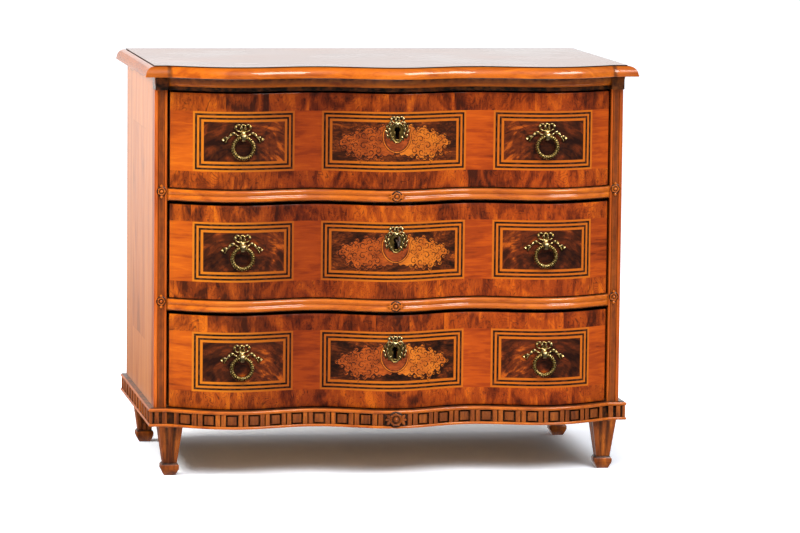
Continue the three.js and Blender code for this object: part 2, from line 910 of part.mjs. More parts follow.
// A ribbon of one width along a curve, with a notch in its free end
function ribbonShape(points, width) {
  const curve = new THREE.SplineCurve(points);
  const left = [];
  const right = [];
  for (let step = 0; step <= ribbonSteps; step += 1) {
    const share = step / ribbonSteps;
    const middle = curve.getPoint(share);
    const along = curve.getTangent(share);
    const across = new THREE.Vector2(-along.y, along.x).multiplyScalar(width / 2);
    left.push(middle.clone().add(across));
    right.push(middle.clone().sub(across));
  }
  const notch = curve.getPoint(1).sub(curve.getTangent(1).multiplyScalar(width / 2));
  return new THREE.Shape([...left, notch, ...right.reverse()]);
}

const tailShares = [[0.06, 0], [0.24, 0.02], [0.42, -0.3], [0.58, -0.36], [0.74, 0], [0.88, -0.5], [1, -1]];

function bowShapes(knotZ) {
  const shapes = [];
  for (const side of [-1, 1]) {
    shapes.push(ellipseShape(
      side * loopSpread, knotZ + loopRise - loopHalfHeight, loopHalfWidth, loopHalfHeight, loopHole,
    ));
    const tail = tailShares.map(([reach, drop]) => (
      new THREE.Vector2(side * reach * tailReach, knotZ + drop * tailDrop)
    ));
    shapes.push(ribbonShape(tail, ribbonWidth));
  }
  return shapes;
}

function pullHeight(level) {
  return drawerFoot(level) + pullLift;
}

// The backplate lies along the face. Its strap holds the bar at the top of the ring.
function bowPlate(level, side) {
  const x = side * pullSpread;
  const pivotZ = pullHeight(level) + ringRadius;
  const knotZ = pivotZ + knotRise;
  const ribbons = bowShapes(knotZ).map((shape) => {
    const plate = uprightPlate(shape, drawerFace + overrun, plateThickness + seatGap + overrun);
    plate.translate(x, 0, 0);
    return toSolid(bentToFace(plate));
  });
  const faceY = drawerFace - runAt(x);
  const pivotY = pivotLine(x);
  const knot = new THREE.SphereGeometry(1, 8, 4);
  knot.scale(knotWidth, knotDepth, knotHeight);
  knot.translate(x, faceY - seatGap - plateThickness / 2, knotZ);
  const strapRound = new THREE.CylinderGeometry(strapOuter, strapOuter, strapWidth, strapSides);
  strapRound.rotateZ(halfTurn / 2);
  strapRound.translate(x, pivotY, pivotZ);
  const strapRoot = boxBetween(
    [x - strapWidth / 2, pivotY, pivotZ - pivotRadius],
    [x + strapWidth / 2, faceY - seatGap, knotZ],
  );
  const strapFace = boxBetween(
    [x - strapWidth / 2, pivotY - strapOuter, pivotZ],
    [x + strapWidth / 2, pivotY, knotZ],
  );
  const bore = new THREE.CylinderGeometry(
    pivotRadius + strapClearance, pivotRadius + strapClearance, strapWidth + overrun, strapSides,
  );
  bore.rotateZ(halfTurn / 2);
  bore.translate(x, pivotY, pivotZ);
  const body = joined([...ribbons, ...[knot, strapRound, strapRoot, strapFace].map(toSolid)]);
  return toGeometry(cutBy(body, [toSolid(bore), frontBlank(level, seatGap)]));
}

// The hinge stands so far out that the ring clears the bow's plate wherever the face behind it is highest
function pivotLine(x) {
  const reach = ringRadius + ringSection;
  const places = Array.from({ length: ringSteps + 1 }, (_, step) => x + reach * (2 * step / ringSteps - 1));
  const crest = Math.max(...places.map(runAt));
  return drawerFace - Math.max(runAt(x) + strapOuter, crest + ringSection + ringGap) - seatGap - plateThickness;
}

// A wreath ring that hangs from a thin round bar at its top
function wreathRing(level, side) {
  const x = side * pullSpread;
  const ring = new THREE.TorusGeometry(ringRadius, ringSection, ringSides, ringSteps);
  ring.rotateX(halfTurn / 2);
  const gap = boxBetween(
    [-pivotLength / 2, -ringSection - overrun, ringRadius / 2],
    [pivotLength / 2, ringSection + overrun, ringRadius + ringSection + overrun],
  );
  const drop = ringRadius - Math.sqrt(ringRadius ** 2 - (pivotLength / 2) ** 2);
  const bar = new THREE.CylinderGeometry(pivotRadius, pivotRadius, pivotLength + 2 * overrun, roundSides);
  bar.rotateZ(halfTurn / 2);
  bar.translate(0, 0, ringRadius - drop / 2);
  const whole = toSolid(ring).subtract(toSolid(gap)).add(toSolid(bar));
  return toGeometry(whole.translate([x, pivotLine(x), pullHeight(level) + drop / 2]));
}

const sprayShares = [[0.1, 1], [0.55, 0.8], [0.9, 0.35], [1, -0.1], [0.88, -0.5]];

// Escutcheon: an oval plate with a raised rim, a laurel spray on each side and a small bow on top
function escutcheon(level) {
  const keyZ = keyholeHeight(level);
  const ovalZ = keyZ - ovalDrop;
  const upright = (shape, thickness) => toSolid(bentToFace(
    uprightPlate(shape, drawerFace + overrun, thickness + seatGap + overrun, ovalSegments),
  ));
  const plate = upright(ellipseShape(0, ovalZ, ovalWidth / 2, ovalHeight / 2), badgeThickness);
  const rim = upright(ellipseShape(0, ovalZ, ovalWidth / 2, ovalHeight / 2, rimBand), rimThickness);
  const bowZ = ovalZ + ovalHeight / 2 + badgeLoopRise;
  const loops = [-1, 1].map((side) => upright(
    ellipseShape(side * badgeLoopSpread, bowZ, badgeLoopWidth, badgeLoopHeight, badgeLoopHole),
    badgeThickness,
  ));
  const sprays = [-1, 1].map((side) => {
    const reach = (sprayWidth - sprayBand) / 2;
    const points = sprayShares.map(([across, up]) => (
      new THREE.Vector2(side * across * reach, ovalZ + up * (ovalHeight / 2))
    ));
    return upright(ribbonShape(points, sprayBand), badgeThickness);
  });
  const body = joined([plate, rim, ...loops, ...sprays]);
  return toGeometry(cutBy(body, [
    keyholeCutter(keyZ, centreFace - rimThickness - overrun, centreFace + overrun),
    frontBlank(level, seatGap),
  ]));
}

// Lock case with a channel for its bolt and a round chamber that the key's bit turns in
function lockCase(level) {
  const z = keyholeHeight(level);
  const high = drawerFoot(level) + frontHeight;
  const near = lockFront + seatGap;
  const body = boxBetween([-lockWidth / 2, near, z - lockDrop], [lockWidth / 2, lockBack, high]);
  const [boltNear, boltFar] = boltSpan();
  const channelReach = boltWidth / 2 + boltClearance;
  const channel = boxBetween(
    [-channelReach, boltNear - boltClearance, z + wardRadius + lockWall],
    [channelReach, boltFar + boltClearance, high + overrun],
  );
  const chamber = new THREE.CylinderGeometry(wardRadius, wardRadius, wardDepth, roundSides);
  chamber.translate(0, near + lockWall + wardDepth / 2, z);
  return toGeometry(cutBy(toSolid(body), [
    toSolid(channel),
    toSolid(chamber),
    keyholeCutter(z, near - overrun, near + lockWall + wardDepth),
  ]));
}

function lockBolt(level) {
  const z = keyholeHeight(level);
  const high = drawerFoot(level) + frontHeight;
  const [near, far] = boltSpan();
  const foot = z + wardRadius + lockWall + boltClearance;
  return boxBetween([-boltWidth / 2, near, foot], [boltWidth / 2, far, high - lockClearance]);
}

// Key: an oval bow, a collar, a round shank and a bit that hangs below the shank inside the lock
function key(level) {
  const z = keyholeHeight(level);
  const tip = lockFront + seatGap + lockWall + wardDepth - lockClearance;
  const bowBack = centreFace - keyReach;
  const shank = new THREE.CylinderGeometry(shankRadius, shankRadius, tip - bowBack, roundSides);
  shank.translate(0, (tip + bowBack) / 2, z);
  const collar = new THREE.CylinderGeometry(collarRadius, collarRadius, collarLength, roundSides);
  collar.translate(0, bowBack + collarLength * 2, z);
  const bowShape = ellipseShape(0, 0, keyBowWidth / 2, keyBowHeight / 2, keyBowSection);
  const bow = new THREE.ExtrudeGeometry(bowShape, {
    depth: keyBowSection,
    bevelEnabled: false,
    curveSegments: ovalSegments,
  });
  bow.translate(0, 0, -keyBowSection / 2);
  bow.rotateY(halfTurn / 2);
  bow.rotateX(halfTurn / 2);
  bow.translate(0, bowBack - keyBowWidth / 2 + keyBowSection / 2, z);
  const bit = boxBetween(
    [-bitThickness / 2, tip - bitLength, z - bitReach],
    [bitThickness / 2, tip, z],
  );
  return toGeometry(joined([shank, collar, bow, bit].map(toSolid)));
}

// Assembly

const chest = new THREE.Group();
chest.name = 'chest';

function addPiece(parent, name, geometry, material) {
  const mesh = new THREE.Mesh(geometry, material);
  mesh.name = name;
  parent.add(mesh);
  return mesh;
}

const carcass = new THREE.Group();
chest.add(carcass);
addPiece(carcass, 'top_panel', topPanel(), finishes.polished);
addPiece(carcass, 'top_moulding_front', edgeMouldingFront(), finishes.moulding);
addPiece(carcass, 'cornice', cornice(), finishes.moulding);
addPiece(carcass, 'back_board', backBoard(), finishes.pine);
addPiece(carcass, 'bottom_board', bottomBoard(), finishes.pine);
addPiece(carcass, 'plinth_front', plinthFront(), finishes.plinth);
addPiece(carcass, 'plinth_back', plinthBack(), finishes.pine);
for (const [side, word] of [[-1, 'left'], [1, 'right']]) {
  addPiece(carcass, `top_moulding_${word}`, edgeMouldingSide(side), finishes.moulding);
  addPiece(carcass, `side_${word}`, sideBoard(side), finishes.polished);
  addPiece(carcass, `post_${word}`, cornerPost(side), finishes.polished);
  addPiece(carcass, `plinth_${word}`, plinthSide(side), finishes.plinth);
  addPiece(carcass, `leg_front_${word}`, leg(side, 'front'), finishes.plinth);
  addPiece(carcass, `leg_rear_${word}`, leg(side, 'rear'), finishes.plinth);
}
for (let level = 1; level < drawerCount; level += 1) {
  addPiece(carcass, `rail_${level}`, drawerRail(level), finishes.moulding);
  addPiece(carcass, `dustboard_${level}`, dustBoard(level), finishes.pine);
}

for (let level = 0; level < drawerCount; level += 1) {
  const drawer = new THREE.Group();
  chest.add(drawer);
  const number = level + 1;
  addPiece(drawer, `drawer_${number}_front`, drawerFront(level), finishes.veneer);
  addPiece(drawer, `drawer_${number}_side_left`, drawerSide(level, -1), finishes.pine);
  addPiece(drawer, `drawer_${number}_side_right`, drawerSide(level, 1), finishes.pine);
  addPiece(drawer, `drawer_${number}_back`, drawerBack(level), finishes.pine);
  addPiece(drawer, `drawer_${number}_bottom`, drawerBottom(level), finishes.pine);
  addPiece(drawer, `escutcheon_${number}`, escutcheon(level), finishes.brass);
  addPiece(drawer, `lock_${number}`, lockCase(level), finishes.iron);
  addPiece(drawer, `bolt_${number}`, lockBolt(level), finishes.iron);
  for (const [side, word] of [[-1, 'left'], [1, 'right']]) {
    addPiece(drawer, `bow_${number}_${word}`, bowPlate(level, side), finishes.brass);
    addPiece(drawer, `ring_${number}_${word}`, wreathRing(level, side), finishes.brass);
  }
}
addPiece(chest, 'key', key(keyedDrawer), finishes.iron);

// The origin lies under the middle of the chest's outline, from the key's bow to the back of the top
const keyFront = centreFace - keyReach - keyBowWidth + keyBowSection / 2;
const frontMost = Math.min(-centreBulge, keyFront);
chest.position.y = -(topDepth + frontMost) / 2;

export default chest;
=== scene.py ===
"""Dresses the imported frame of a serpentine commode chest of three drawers.

Lengths are metres in the frame's own axes: +X to the chest's right, the front faces -Y and +Z is up.
Every surface finish is procedural and reads Object coordinates, which equal the frame's.
"""
import json
import logging
import math
from collections.abc import Callable, Iterable, Sequence
from dataclasses import dataclass, field
from enum import Enum

import bmesh
import bpy
from mathutils import Matrix, Quaternion, Vector

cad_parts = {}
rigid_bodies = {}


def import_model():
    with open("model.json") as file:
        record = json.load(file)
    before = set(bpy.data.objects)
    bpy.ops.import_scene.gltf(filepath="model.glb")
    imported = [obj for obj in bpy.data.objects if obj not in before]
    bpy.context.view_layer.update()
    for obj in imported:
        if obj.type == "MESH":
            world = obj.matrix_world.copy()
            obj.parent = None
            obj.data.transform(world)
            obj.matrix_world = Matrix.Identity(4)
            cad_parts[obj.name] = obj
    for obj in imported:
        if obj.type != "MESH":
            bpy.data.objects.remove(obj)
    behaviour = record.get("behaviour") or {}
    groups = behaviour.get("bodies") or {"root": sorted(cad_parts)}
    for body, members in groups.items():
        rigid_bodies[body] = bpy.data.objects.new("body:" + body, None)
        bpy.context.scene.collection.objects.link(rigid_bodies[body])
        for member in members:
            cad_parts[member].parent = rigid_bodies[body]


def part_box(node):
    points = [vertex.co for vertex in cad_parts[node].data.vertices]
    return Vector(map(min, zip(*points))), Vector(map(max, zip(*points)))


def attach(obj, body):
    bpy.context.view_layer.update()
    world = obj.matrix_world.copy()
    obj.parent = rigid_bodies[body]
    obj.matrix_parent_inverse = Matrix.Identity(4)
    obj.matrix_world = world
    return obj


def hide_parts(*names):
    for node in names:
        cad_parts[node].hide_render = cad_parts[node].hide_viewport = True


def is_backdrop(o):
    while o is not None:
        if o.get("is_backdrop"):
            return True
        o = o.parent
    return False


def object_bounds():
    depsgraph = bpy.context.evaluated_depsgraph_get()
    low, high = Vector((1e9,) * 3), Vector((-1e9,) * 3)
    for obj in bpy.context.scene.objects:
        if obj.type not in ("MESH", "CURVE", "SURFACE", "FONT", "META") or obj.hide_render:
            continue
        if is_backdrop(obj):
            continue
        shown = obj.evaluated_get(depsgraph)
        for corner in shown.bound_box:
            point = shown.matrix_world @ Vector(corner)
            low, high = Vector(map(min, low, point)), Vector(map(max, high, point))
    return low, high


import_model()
LOG = logging.getLogger("commode")
WELD = 1e-6
MILLIMETRE = 0.001
Mesh = bmesh.types.BMesh
Material = bpy.types.Material
Colour = tuple[float, float, float]
Point = tuple[float, float]
Stops = Sequence[tuple[float, Colour]]
Bend = Callable[[Vector], Vector]
Measure = Callable[[Vector], float]
Stations = list[tuple[Vector, Vector]]


class Slot(Enum):
    """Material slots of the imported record."""

    POLISHED = "polished_walnut"
    MOULDING = "walnut_moulding"
    VENEER = "drawer_veneer"
    PLINTH = "plinth_walnut"
    SOFTWOOD = "carcass_softwood"
    BRASS = "gilt_brass"
    IRON = "lock_iron"


class Side(Enum):
    """The two sides of the chest, as the direction of +X and the word in node names."""

    LEFT = (-1, "left")
    RIGHT = (1, "right")

    @property
    def sign(self) -> int:
        """Returns: -1 on the left and 1 on the right."""
        return self.value[0]

    @property
    def word(self) -> str:
        """Returns: the side's word in node names."""
        return self.value[1]

    @property
    def outward(self) -> float:
        """Returns: angle on the front of the way that leads from the middle to this side."""
        return 0 if self is Side.RIGHT else math.pi


class Row(Enum):
    """The two rows of legs."""

    FRONT = "front"
    REAR = "rear"


def lerp(start: float, end: float, share: float) -> float:
    """Args: start, end: values; share: 0 to 1. Returns: the straight blend of the values."""
    return start + (end - start) * share


def eased(start: float, end: float, share: float) -> float:
    """Args: start, end: values; share: 0 to 1. Returns: a cosine step between the values."""
    return start + (end - start) * (1 - math.cos(math.pi * share)) / 2


def held(value: float) -> float:
    """Args: value: any number. Returns: it, held between 0 and 1."""
    return min(max(value, 0.0), 1.0)


def circle(count: int) -> list[float]:
    """Args: count: steps of a full turn. Returns: the angles from 0 to the full turn."""
    return [2 * math.pi * step / count for step in range(count + 1)]


def arc(centre: Point, radii: Point, start: float, end: float, steps: int) -> list[Point]:
    """Args: centre, radii; start, end: in degrees; steps. Returns: points of an elliptical arc."""
    turns = [math.radians(lerp(start, end, step / steps)) for step in range(steps + 1)]
    return [(centre[0] + radii[0] * math.cos(turn), centre[1] + radii[1] * math.sin(turn)) for turn in turns]


def spread(half: float, steps: int) -> list[float]:
    """Args: half: half width; steps: count. Returns: places across the front, evenly spread."""
    return [lerp(-half, half, step / steps) for step in range(steps + 1)]


@dataclass(frozen=True)
class FrontCurve:
    """Plan of the serpentine front: how far it stands forward of the corner posts.

    Args:
        opening_half: half the width between the posts, where the wave ends.
        centre, hollow, lobe: forward reach of the middle, the two hollows and the two side lobes.
        hollow_share, lobe_share: places of the hollows and lobes, as shares of opening_half.
    """

    opening_half: float
    centre: float
    hollow: float = 0.030
    lobe: float = 0.062
    hollow_share: float = 0.36
    lobe_share: float = 0.69

    def bulge(self, x: float) -> float:
        """Args: x: place across the front. Returns: how far the wave stands forward there."""
        reach = abs(x)
        hollow_x = self.opening_half * self.hollow_share
        lobe_x = self.opening_half * self.lobe_share
        if reach >= self.opening_half:
            return 0.0
        if reach <= hollow_x:
            return eased(self.centre, self.hollow, reach / hollow_x)
        if reach <= lobe_x:
            return eased(self.hollow, self.lobe, (reach - hollow_x) / (lobe_x - hollow_x))
        return self.lobe * math.cos(math.pi / 2 * (reach - lobe_x) / (self.opening_half - lobe_x))


@dataclass(frozen=True)
class Layout:
    """Planes and lines that the pieces share, read from the frame.

    Args:
        front_line: y of the top's front edge where the wave is nil.
        top_half, arris_half: half widths of the top with and without its moulding.
        case_half, opening_half: half widths of the case and between the posts.
        post_face, post_back: y of the posts' front and back.
        case_back, top_back: y of the case's and the top's back.
        floor_level: z of the floor.
        plinth_low, plinth_top, cornice_low, top_low, top_high: heights of the pieces' edges.
        plinth_half, plinth_face: half width of the plinth, and y of its front.
        curve: plan of the front.
        recess: how far the drawer fronts lie behind the posts' face.
        keyhole: height of a keyhole's eye above its drawer front's lower edge.
    """

    front_line: float
    top_half: float
    arris_half: float
    case_half: float
    opening_half: float
    post_face: float
    post_back: float
    case_back: float
    top_back: float
    floor_level: float
    plinth_low: float
    plinth_top: float
    cornice_low: float
    top_low: float
    top_high: float
    plinth_half: float
    plinth_face: float
    curve: FrontCurve
    recess: float = 0.001
    keyhole: float = 0.126

    @property
    def drawer_face(self) -> float:
        """Returns: y of the drawer fronts at the posts."""
        return self.post_face + self.recess

    @classmethod
    def from_frame(cls, post_depth: float = 0.044) -> "Layout":
        """Args: post_depth: front to back size of a corner post. Returns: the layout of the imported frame."""
        edge_low, edge_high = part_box("top_moulding_front")
        _, panel_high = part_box("top_panel")
        side_low, side_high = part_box("side_right")
        post_low, post_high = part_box("post_right")
        plinth_low, plinth_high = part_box("plinth_front")
        return_low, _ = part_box("plinth_right")
        centre = return_low.y - plinth_low.y
        return cls(
            front_line=edge_low.y + centre,
            top_half=edge_high.x,
            arris_half=panel_high.x,
            case_half=side_high.x,
            opening_half=post_low.x,
            post_face=side_low.y - post_depth,
            post_back=side_low.y,
            case_back=side_high.y,
            top_back=panel_high.y,
            floor_level=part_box("leg_front_right")[0].z,
            plinth_low=plinth_low.z,
            plinth_top=plinth_high.z,
            cornice_low=post_high.z,
            top_low=edge_low.z,
            top_high=edge_high.z,
            plinth_half=plinth_high.x,
            plinth_face=return_low.y,
            curve=FrontCurve(opening_half=post_low.x, centre=centre),
        )


def moved(bm: Mesh, by: Sequence[float], verts: list[bmesh.types.BMVert] | None = None) -> Mesh:
    """Args: bm: mesh; by: the way; verts: those that move, or all. Returns: the mesh."""
    bmesh.ops.translate(bm, vec=Vector(by), verts=verts or bm.verts)
    return bm


def turned(bm: Mesh, angle: float, axis: str = "Y") -> Mesh:
    """Args: bm: mesh; angle: in radians; axis: through the origin. Returns: the mesh."""
    bmesh.ops.rotate(bm, cent=Vector(), matrix=Matrix.Rotation(angle, 3, axis), verts=bm.verts)
    return bm


def sized(bm: Mesh, *factors: float) -> Mesh:
    """Args: bm: mesh; factors: of x, y and z. Returns: the mesh."""
    bmesh.ops.scale(bm, vec=Vector(factors), verts=bm.verts)
    return bm


def bent(bm: Mesh, bend: Bend) -> Mesh:
    """Args: bm: mesh; bend: gives each point's new place. Returns: the mesh."""
    for vert in bm.verts:
        vert.co = bend(vert.co.copy())
    return bm


def merged(target: Mesh, *sources: Mesh) -> Mesh:
    """Args: target, sources: meshes; the sources are freed. Returns: the target, with all the faces."""
    for source in sources:
        carrier = bpy.data.meshes.new("carrier")
        source.to_mesh(carrier)
        source.free()
        target.from_mesh(carrier)
        bpy.data.meshes.remove(carrier)
    return target


def object_of(name: str, bm: Mesh, *materials: Material) -> bpy.types.Object:
    """Args: name; bm: mesh, freed here; materials: its finishes. Returns: the object, in the scene."""
    mesh = bpy.data.meshes.new(name)
    bm.to_mesh(mesh)
    bm.free()
    for material in materials:
        mesh.materials.append(material)
    made = bpy.data.objects.new(name, mesh)
    bpy.context.scene.collection.objects.link(made)
    return made


def formed_grid(bm: Mesh, columns: int, rows: int, place: Callable[[int, int], Vector]) -> None:
    """Makes a grid and puts each of its points where the form needs it.

    Args:
        bm: mesh that takes the grid.
        columns, rows: faces along the two directions.
        place: gives the point of a column and a row.
    """
    for vert in bmesh.ops.create_grid(bm, x_segments=columns, y_segments=rows, size=1.0)["verts"]:
        column = round((vert.co.x + 1) / 2 * columns)
        row = round((vert.co.y + 1) / 2 * rows)
        vert.co = place(column, row)


def skinned(rings: Sequence[Sequence[Vector]]) -> Mesh:
    """Args: rings: like closed rings in order. Returns: a closed mesh that runs through them."""
    bm = bmesh.new()
    count = len(rings[0])
    formed_grid(bm, len(rings) - 1, count, lambda column, row: rings[column][row % count])
    bmesh.ops.remove_doubles(bm, verts=bm.verts, dist=WELD)
    bmesh.ops.holes_fill(bm, edges=[edge for edge in bm.edges if edge.is_boundary], sides=0)
    return bm


def swept(section: Sequence[Point], stations: Stations) -> Mesh:
    """Runs a moulding along a line.

    Args:
        section: (outward, up) points of the moulding.
        stations: points of the line with their outward ways.

    Returns:
        The closed mesh.
    """
    return skinned([
        [point + out * outward + Vector((0, 0, up)) for outward, up in section] for point, out in stations
    ])


def extruded(rim: Iterable[Sequence[float]], by: Sequence[float]) -> Mesh:
    """Args: rim: points of a closed line; by: a way. Returns: the solid that its face leaves on that way."""
    bm = bmesh.new()
    face = bm.faces.new([bm.verts.new(point) for point in rim])
    made = bmesh.ops.extrude_face_region(bm, geom=[face])["geom"]
    return moved(bm, by, [item for item in made if isinstance(item, bmesh.types.BMVert)])


def softened(bm: Mesh, rounding: float, segments: int = 2) -> Mesh:
    """Args: bm: mesh; rounding: edge radius; segments: of the round. Returns: the mesh, with round edges."""
    bmesh.ops.bevel(
        bm, geom=bm.edges[:], offset=rounding, segments=segments, profile=0.5, affect="EDGES", material=-1
    )
    return bm


def rounded_box(low: Sequence[float], high: Sequence[float], rounding: float, segments: int = 2) -> Mesh:
    """Args: low, high: corners; rounding: edge radius; segments: of the round. Returns: a softened box."""
    near, far = Vector(low), Vector(high)
    bm = bmesh.new()
    bmesh.ops.create_cube(bm, size=1.0)
    return softened(moved(sized(bm, *(far - near)), (near + far) / 2), rounding, segments)


def ball(radius: float, around: int, up: int) -> Mesh:
    """Args: radius; around, up: counts of segments. Returns: a ball at the origin."""
    bm = bmesh.new()
    bmesh.ops.create_uvsphere(bm, u_segments=around, v_segments=up, radius=radius)
    return bm


def tube(
    path: Sequence[Vector], across: Callable[[float], Point], sides: int, up: Vector | None = None
) -> Mesh:
    """Runs an oval section along a path and closes it.

    Args:
        path: points of the middle line.
        across: half width and half depth of the section at a share of the path.
        sides: points of the section.
        up: direction that the section's depth keeps to; -Y when left out.

    Returns:
        The closed mesh.
    """
    depth_way = up or Vector((0, -1, 0))
    last = len(path) - 1
    rings = []
    for index, point in enumerate(path):
        along = (path[min(index + 1, last)] - path[max(index - 1, 0)]).normalized()
        side = along.cross(depth_way).normalized()
        rise = side.cross(along).normalized()
        half_width, half_depth = across(index / last)
        rings.append([
            point + side * half_width * math.cos(turn) + rise * half_depth * math.sin(turn)
            for turn in circle(sides)[:-1]
        ])
    return skinned(rings)


def smooth_path(points: Sequence[Vector], count: int) -> list[Vector]:
    """Args: points: guide points; count: steps. Returns: a smooth curve through the guide points."""
    path = []
    last = len(points) - 1
    for step in range(count + 1):
        place = min(step / count * last, last - 1e-9)
        index = int(place)
        t = place - index
        p0, p1, p2, p3 = (points[min(max(index + near, 0), last)] for near in (-1, 0, 1, 2))
        path.append(0.5 * (
            2 * p1
            + (p2 - p0) * t
            + (2 * p0 - 5 * p1 + 4 * p2 - p3) * t ** 2
            + (3 * p1 - p0 - 3 * p2 + p3) * t ** 3
        ))
    return path


def leaf(length: float, width: float, rise: float, curl: float = 0.3) -> Mesh:
    """Makes a carved leaf on the XZ plane, from its root at the origin to its tip on +X.

    Args:
        length, width: size of the blade.
        rise: height of the blade's middle above its edge, towards -Y.
        curl: share of the rise by which the tip lifts.

    Returns:
        The closed mesh.
    """
    rib_depth, rib_width = 0.35, 0.22
    blunt, fullness = 0.35, 0.6

    def shape(point: Vector) -> Vector:
        """Args: point: of a ball. Returns: its place on the leaf."""
        along = (point.x + 1) / 2
        bulge = math.sin(math.pi * along) ** fullness if 0 < along < 1 else 0.0
        rib = 1 - rib_depth * math.exp(-(point.z / rib_width) ** 2) if point.y < 0 else 1.0
        return Vector((
            along * length,
            point.y * rise * rib - curl * rise * along ** 2,
            point.z * width / 2 * lerp(blunt, 1.0, bulge),
        ))

    return bent(ball(1.0, 8, 7), shape)


def carved(body: Mesh, cutter: Mesh) -> Mesh:
    """Args: body, cutter: closed meshes; both are freed. Returns: the body with the cutter taken away."""
    holders = []
    for name, bm in (("carved_body", body), ("carved_cutter", cutter)):
        bmesh.ops.recalc_face_normals(bm, faces=bm.faces)
        holders.append(object_of(name, bm))
    cut = holders[0].modifiers.new("cut", "BOOLEAN")
    cut.operation = "DIFFERENCE"
    cut.solver = "EXACT"
    cut.object = holders[1]
    seen = holders[0].evaluated_get(bpy.context.evaluated_depsgraph_get())
    result = bmesh.new()
    result.from_mesh(seen.to_mesh())
    seen.to_mesh_clear()
    for holder in holders:
        mesh = holder.data
        bpy.data.objects.remove(holder)
        bpy.data.meshes.remove(mesh)
    return result


@dataclass
class Workshop:
    """Turns finished meshes into named pieces of the chest.

    Args:
        finishes: the material of each slot.
        delivered: names of the pieces made so far.
    """

    finishes: dict[Slot, Material]
    delivered: list[str] = field(default_factory=list)

    def deliver(
        self,
        name: str,
        bm: Mesh,
        slot: Slot,
        body: str = "case",
        node: str = "",
        sharp_degrees: float = 38.0,
        relief: Measure | None = None,
        hollow: Measure | None = None,
        finish: Material | None = None,
    ) -> bpy.types.Object:
        """Makes an object that rides on a body of the frame.

        Args:
            name: the piece's name.
            bm: its mesh, in the frame's place; it is freed here.
            slot: the record's slot of its finish.
            body: the frame body that carries it.
            node: the frame node that it stands for, if any.
            sharp_degrees: edges that turn by more stay crisp.
            relief: height from 0 in the hollows to 1 on the ridges, kept for the brass finish.
            hollow: share of painted shade, with some dirt, from 0 to 1, kept for the wood finishes; it darkens
                hollows, gaps and recesses, and the corner pieces of the top's front edge.
            finish: a material other than the slot's own.

        Returns:
            The piece.
        """
        bmesh.ops.remove_doubles(bm, verts=bm.verts, dist=WELD / 5)
        bmesh.ops.recalc_face_normals(bm, faces=bm.faces)
        for face in bm.faces:
            face.smooth = True
        for edge in bm.edges:
            edge.smooth = not (edge.is_manifold and edge.calc_face_angle(0.0) > math.radians(sharp_degrees))
        for word, measure in (("relief", relief), ("hollow", hollow)):
            if measure is not None:
                layer = bm.verts.layers.float.new(word)
                for vert in bm.verts:
                    vert[layer] = held(measure(vert.co))
        piece = object_of(name, bm, finish or self.finishes[slot])
        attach(piece, body)
        if node:
            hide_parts(node)
        self.delivered.append(name)
        LOG.info("%s: %d faces on %s", name, len(piece.data.polygons), body)
        return piece


def face_by_face(piece: bpy.types.Object, choose: Callable[[Vector], int], *others: Material) -> None:
    """Args: piece; choose: gives a face's material from its way; others: materials after the first."""
    for material in others:
        piece.data.materials.append(material)
    for polygon in piece.data.polygons:
        polygon.material_index = choose(polygon.normal)


@dataclass(frozen=True)
class Signal:
    """A node's output, which takes part in sums as a number does.

    Args:
        graph: that it belongs to.
        socket: the output.
    """

    graph: "Graph"
    socket: bpy.types.NodeSocket

    def __add__(self, other: object) -> "Signal":
        """Args: other: added. Returns: the sum."""
        return self.graph.math("ADD", self, other)

    def __sub__(self, other: object) -> "Signal":
        """Args: other: taken away. Returns: the difference."""
        return self.graph.math("SUBTRACT", self, other)

    def __rsub__(self, other: object) -> "Signal":
        """Args: other: that this is taken from. Returns: the difference."""
        return self.graph.math("SUBTRACT", other, self)

    def __mul__(self, other: object) -> "Signal":
        """Args: other: factor. Returns: the product."""
        return self.graph.math("MULTIPLY", self, other)

    def __mod__(self, other: object) -> "Signal":
        """Args: other: divisor. Returns: what is left, never below 0."""
        return self.graph.math("FLOORED_MODULO", self, other)

    def __floordiv__(self, other: object) -> "Signal":
        """Args: other: divisor. Returns: the whole times it fits."""
        return self.graph.math("FLOOR", self.graph.math("DIVIDE", self, other))

    def __pow__(self, other: object) -> "Signal":
        """Args: other: power. Returns: the value raised to it."""
        return self.graph.math("POWER", self, other)

    def __abs__(self) -> "Signal":
        """Returns: the value without its sign."""
        return self.graph.math("ABSOLUTE", self)


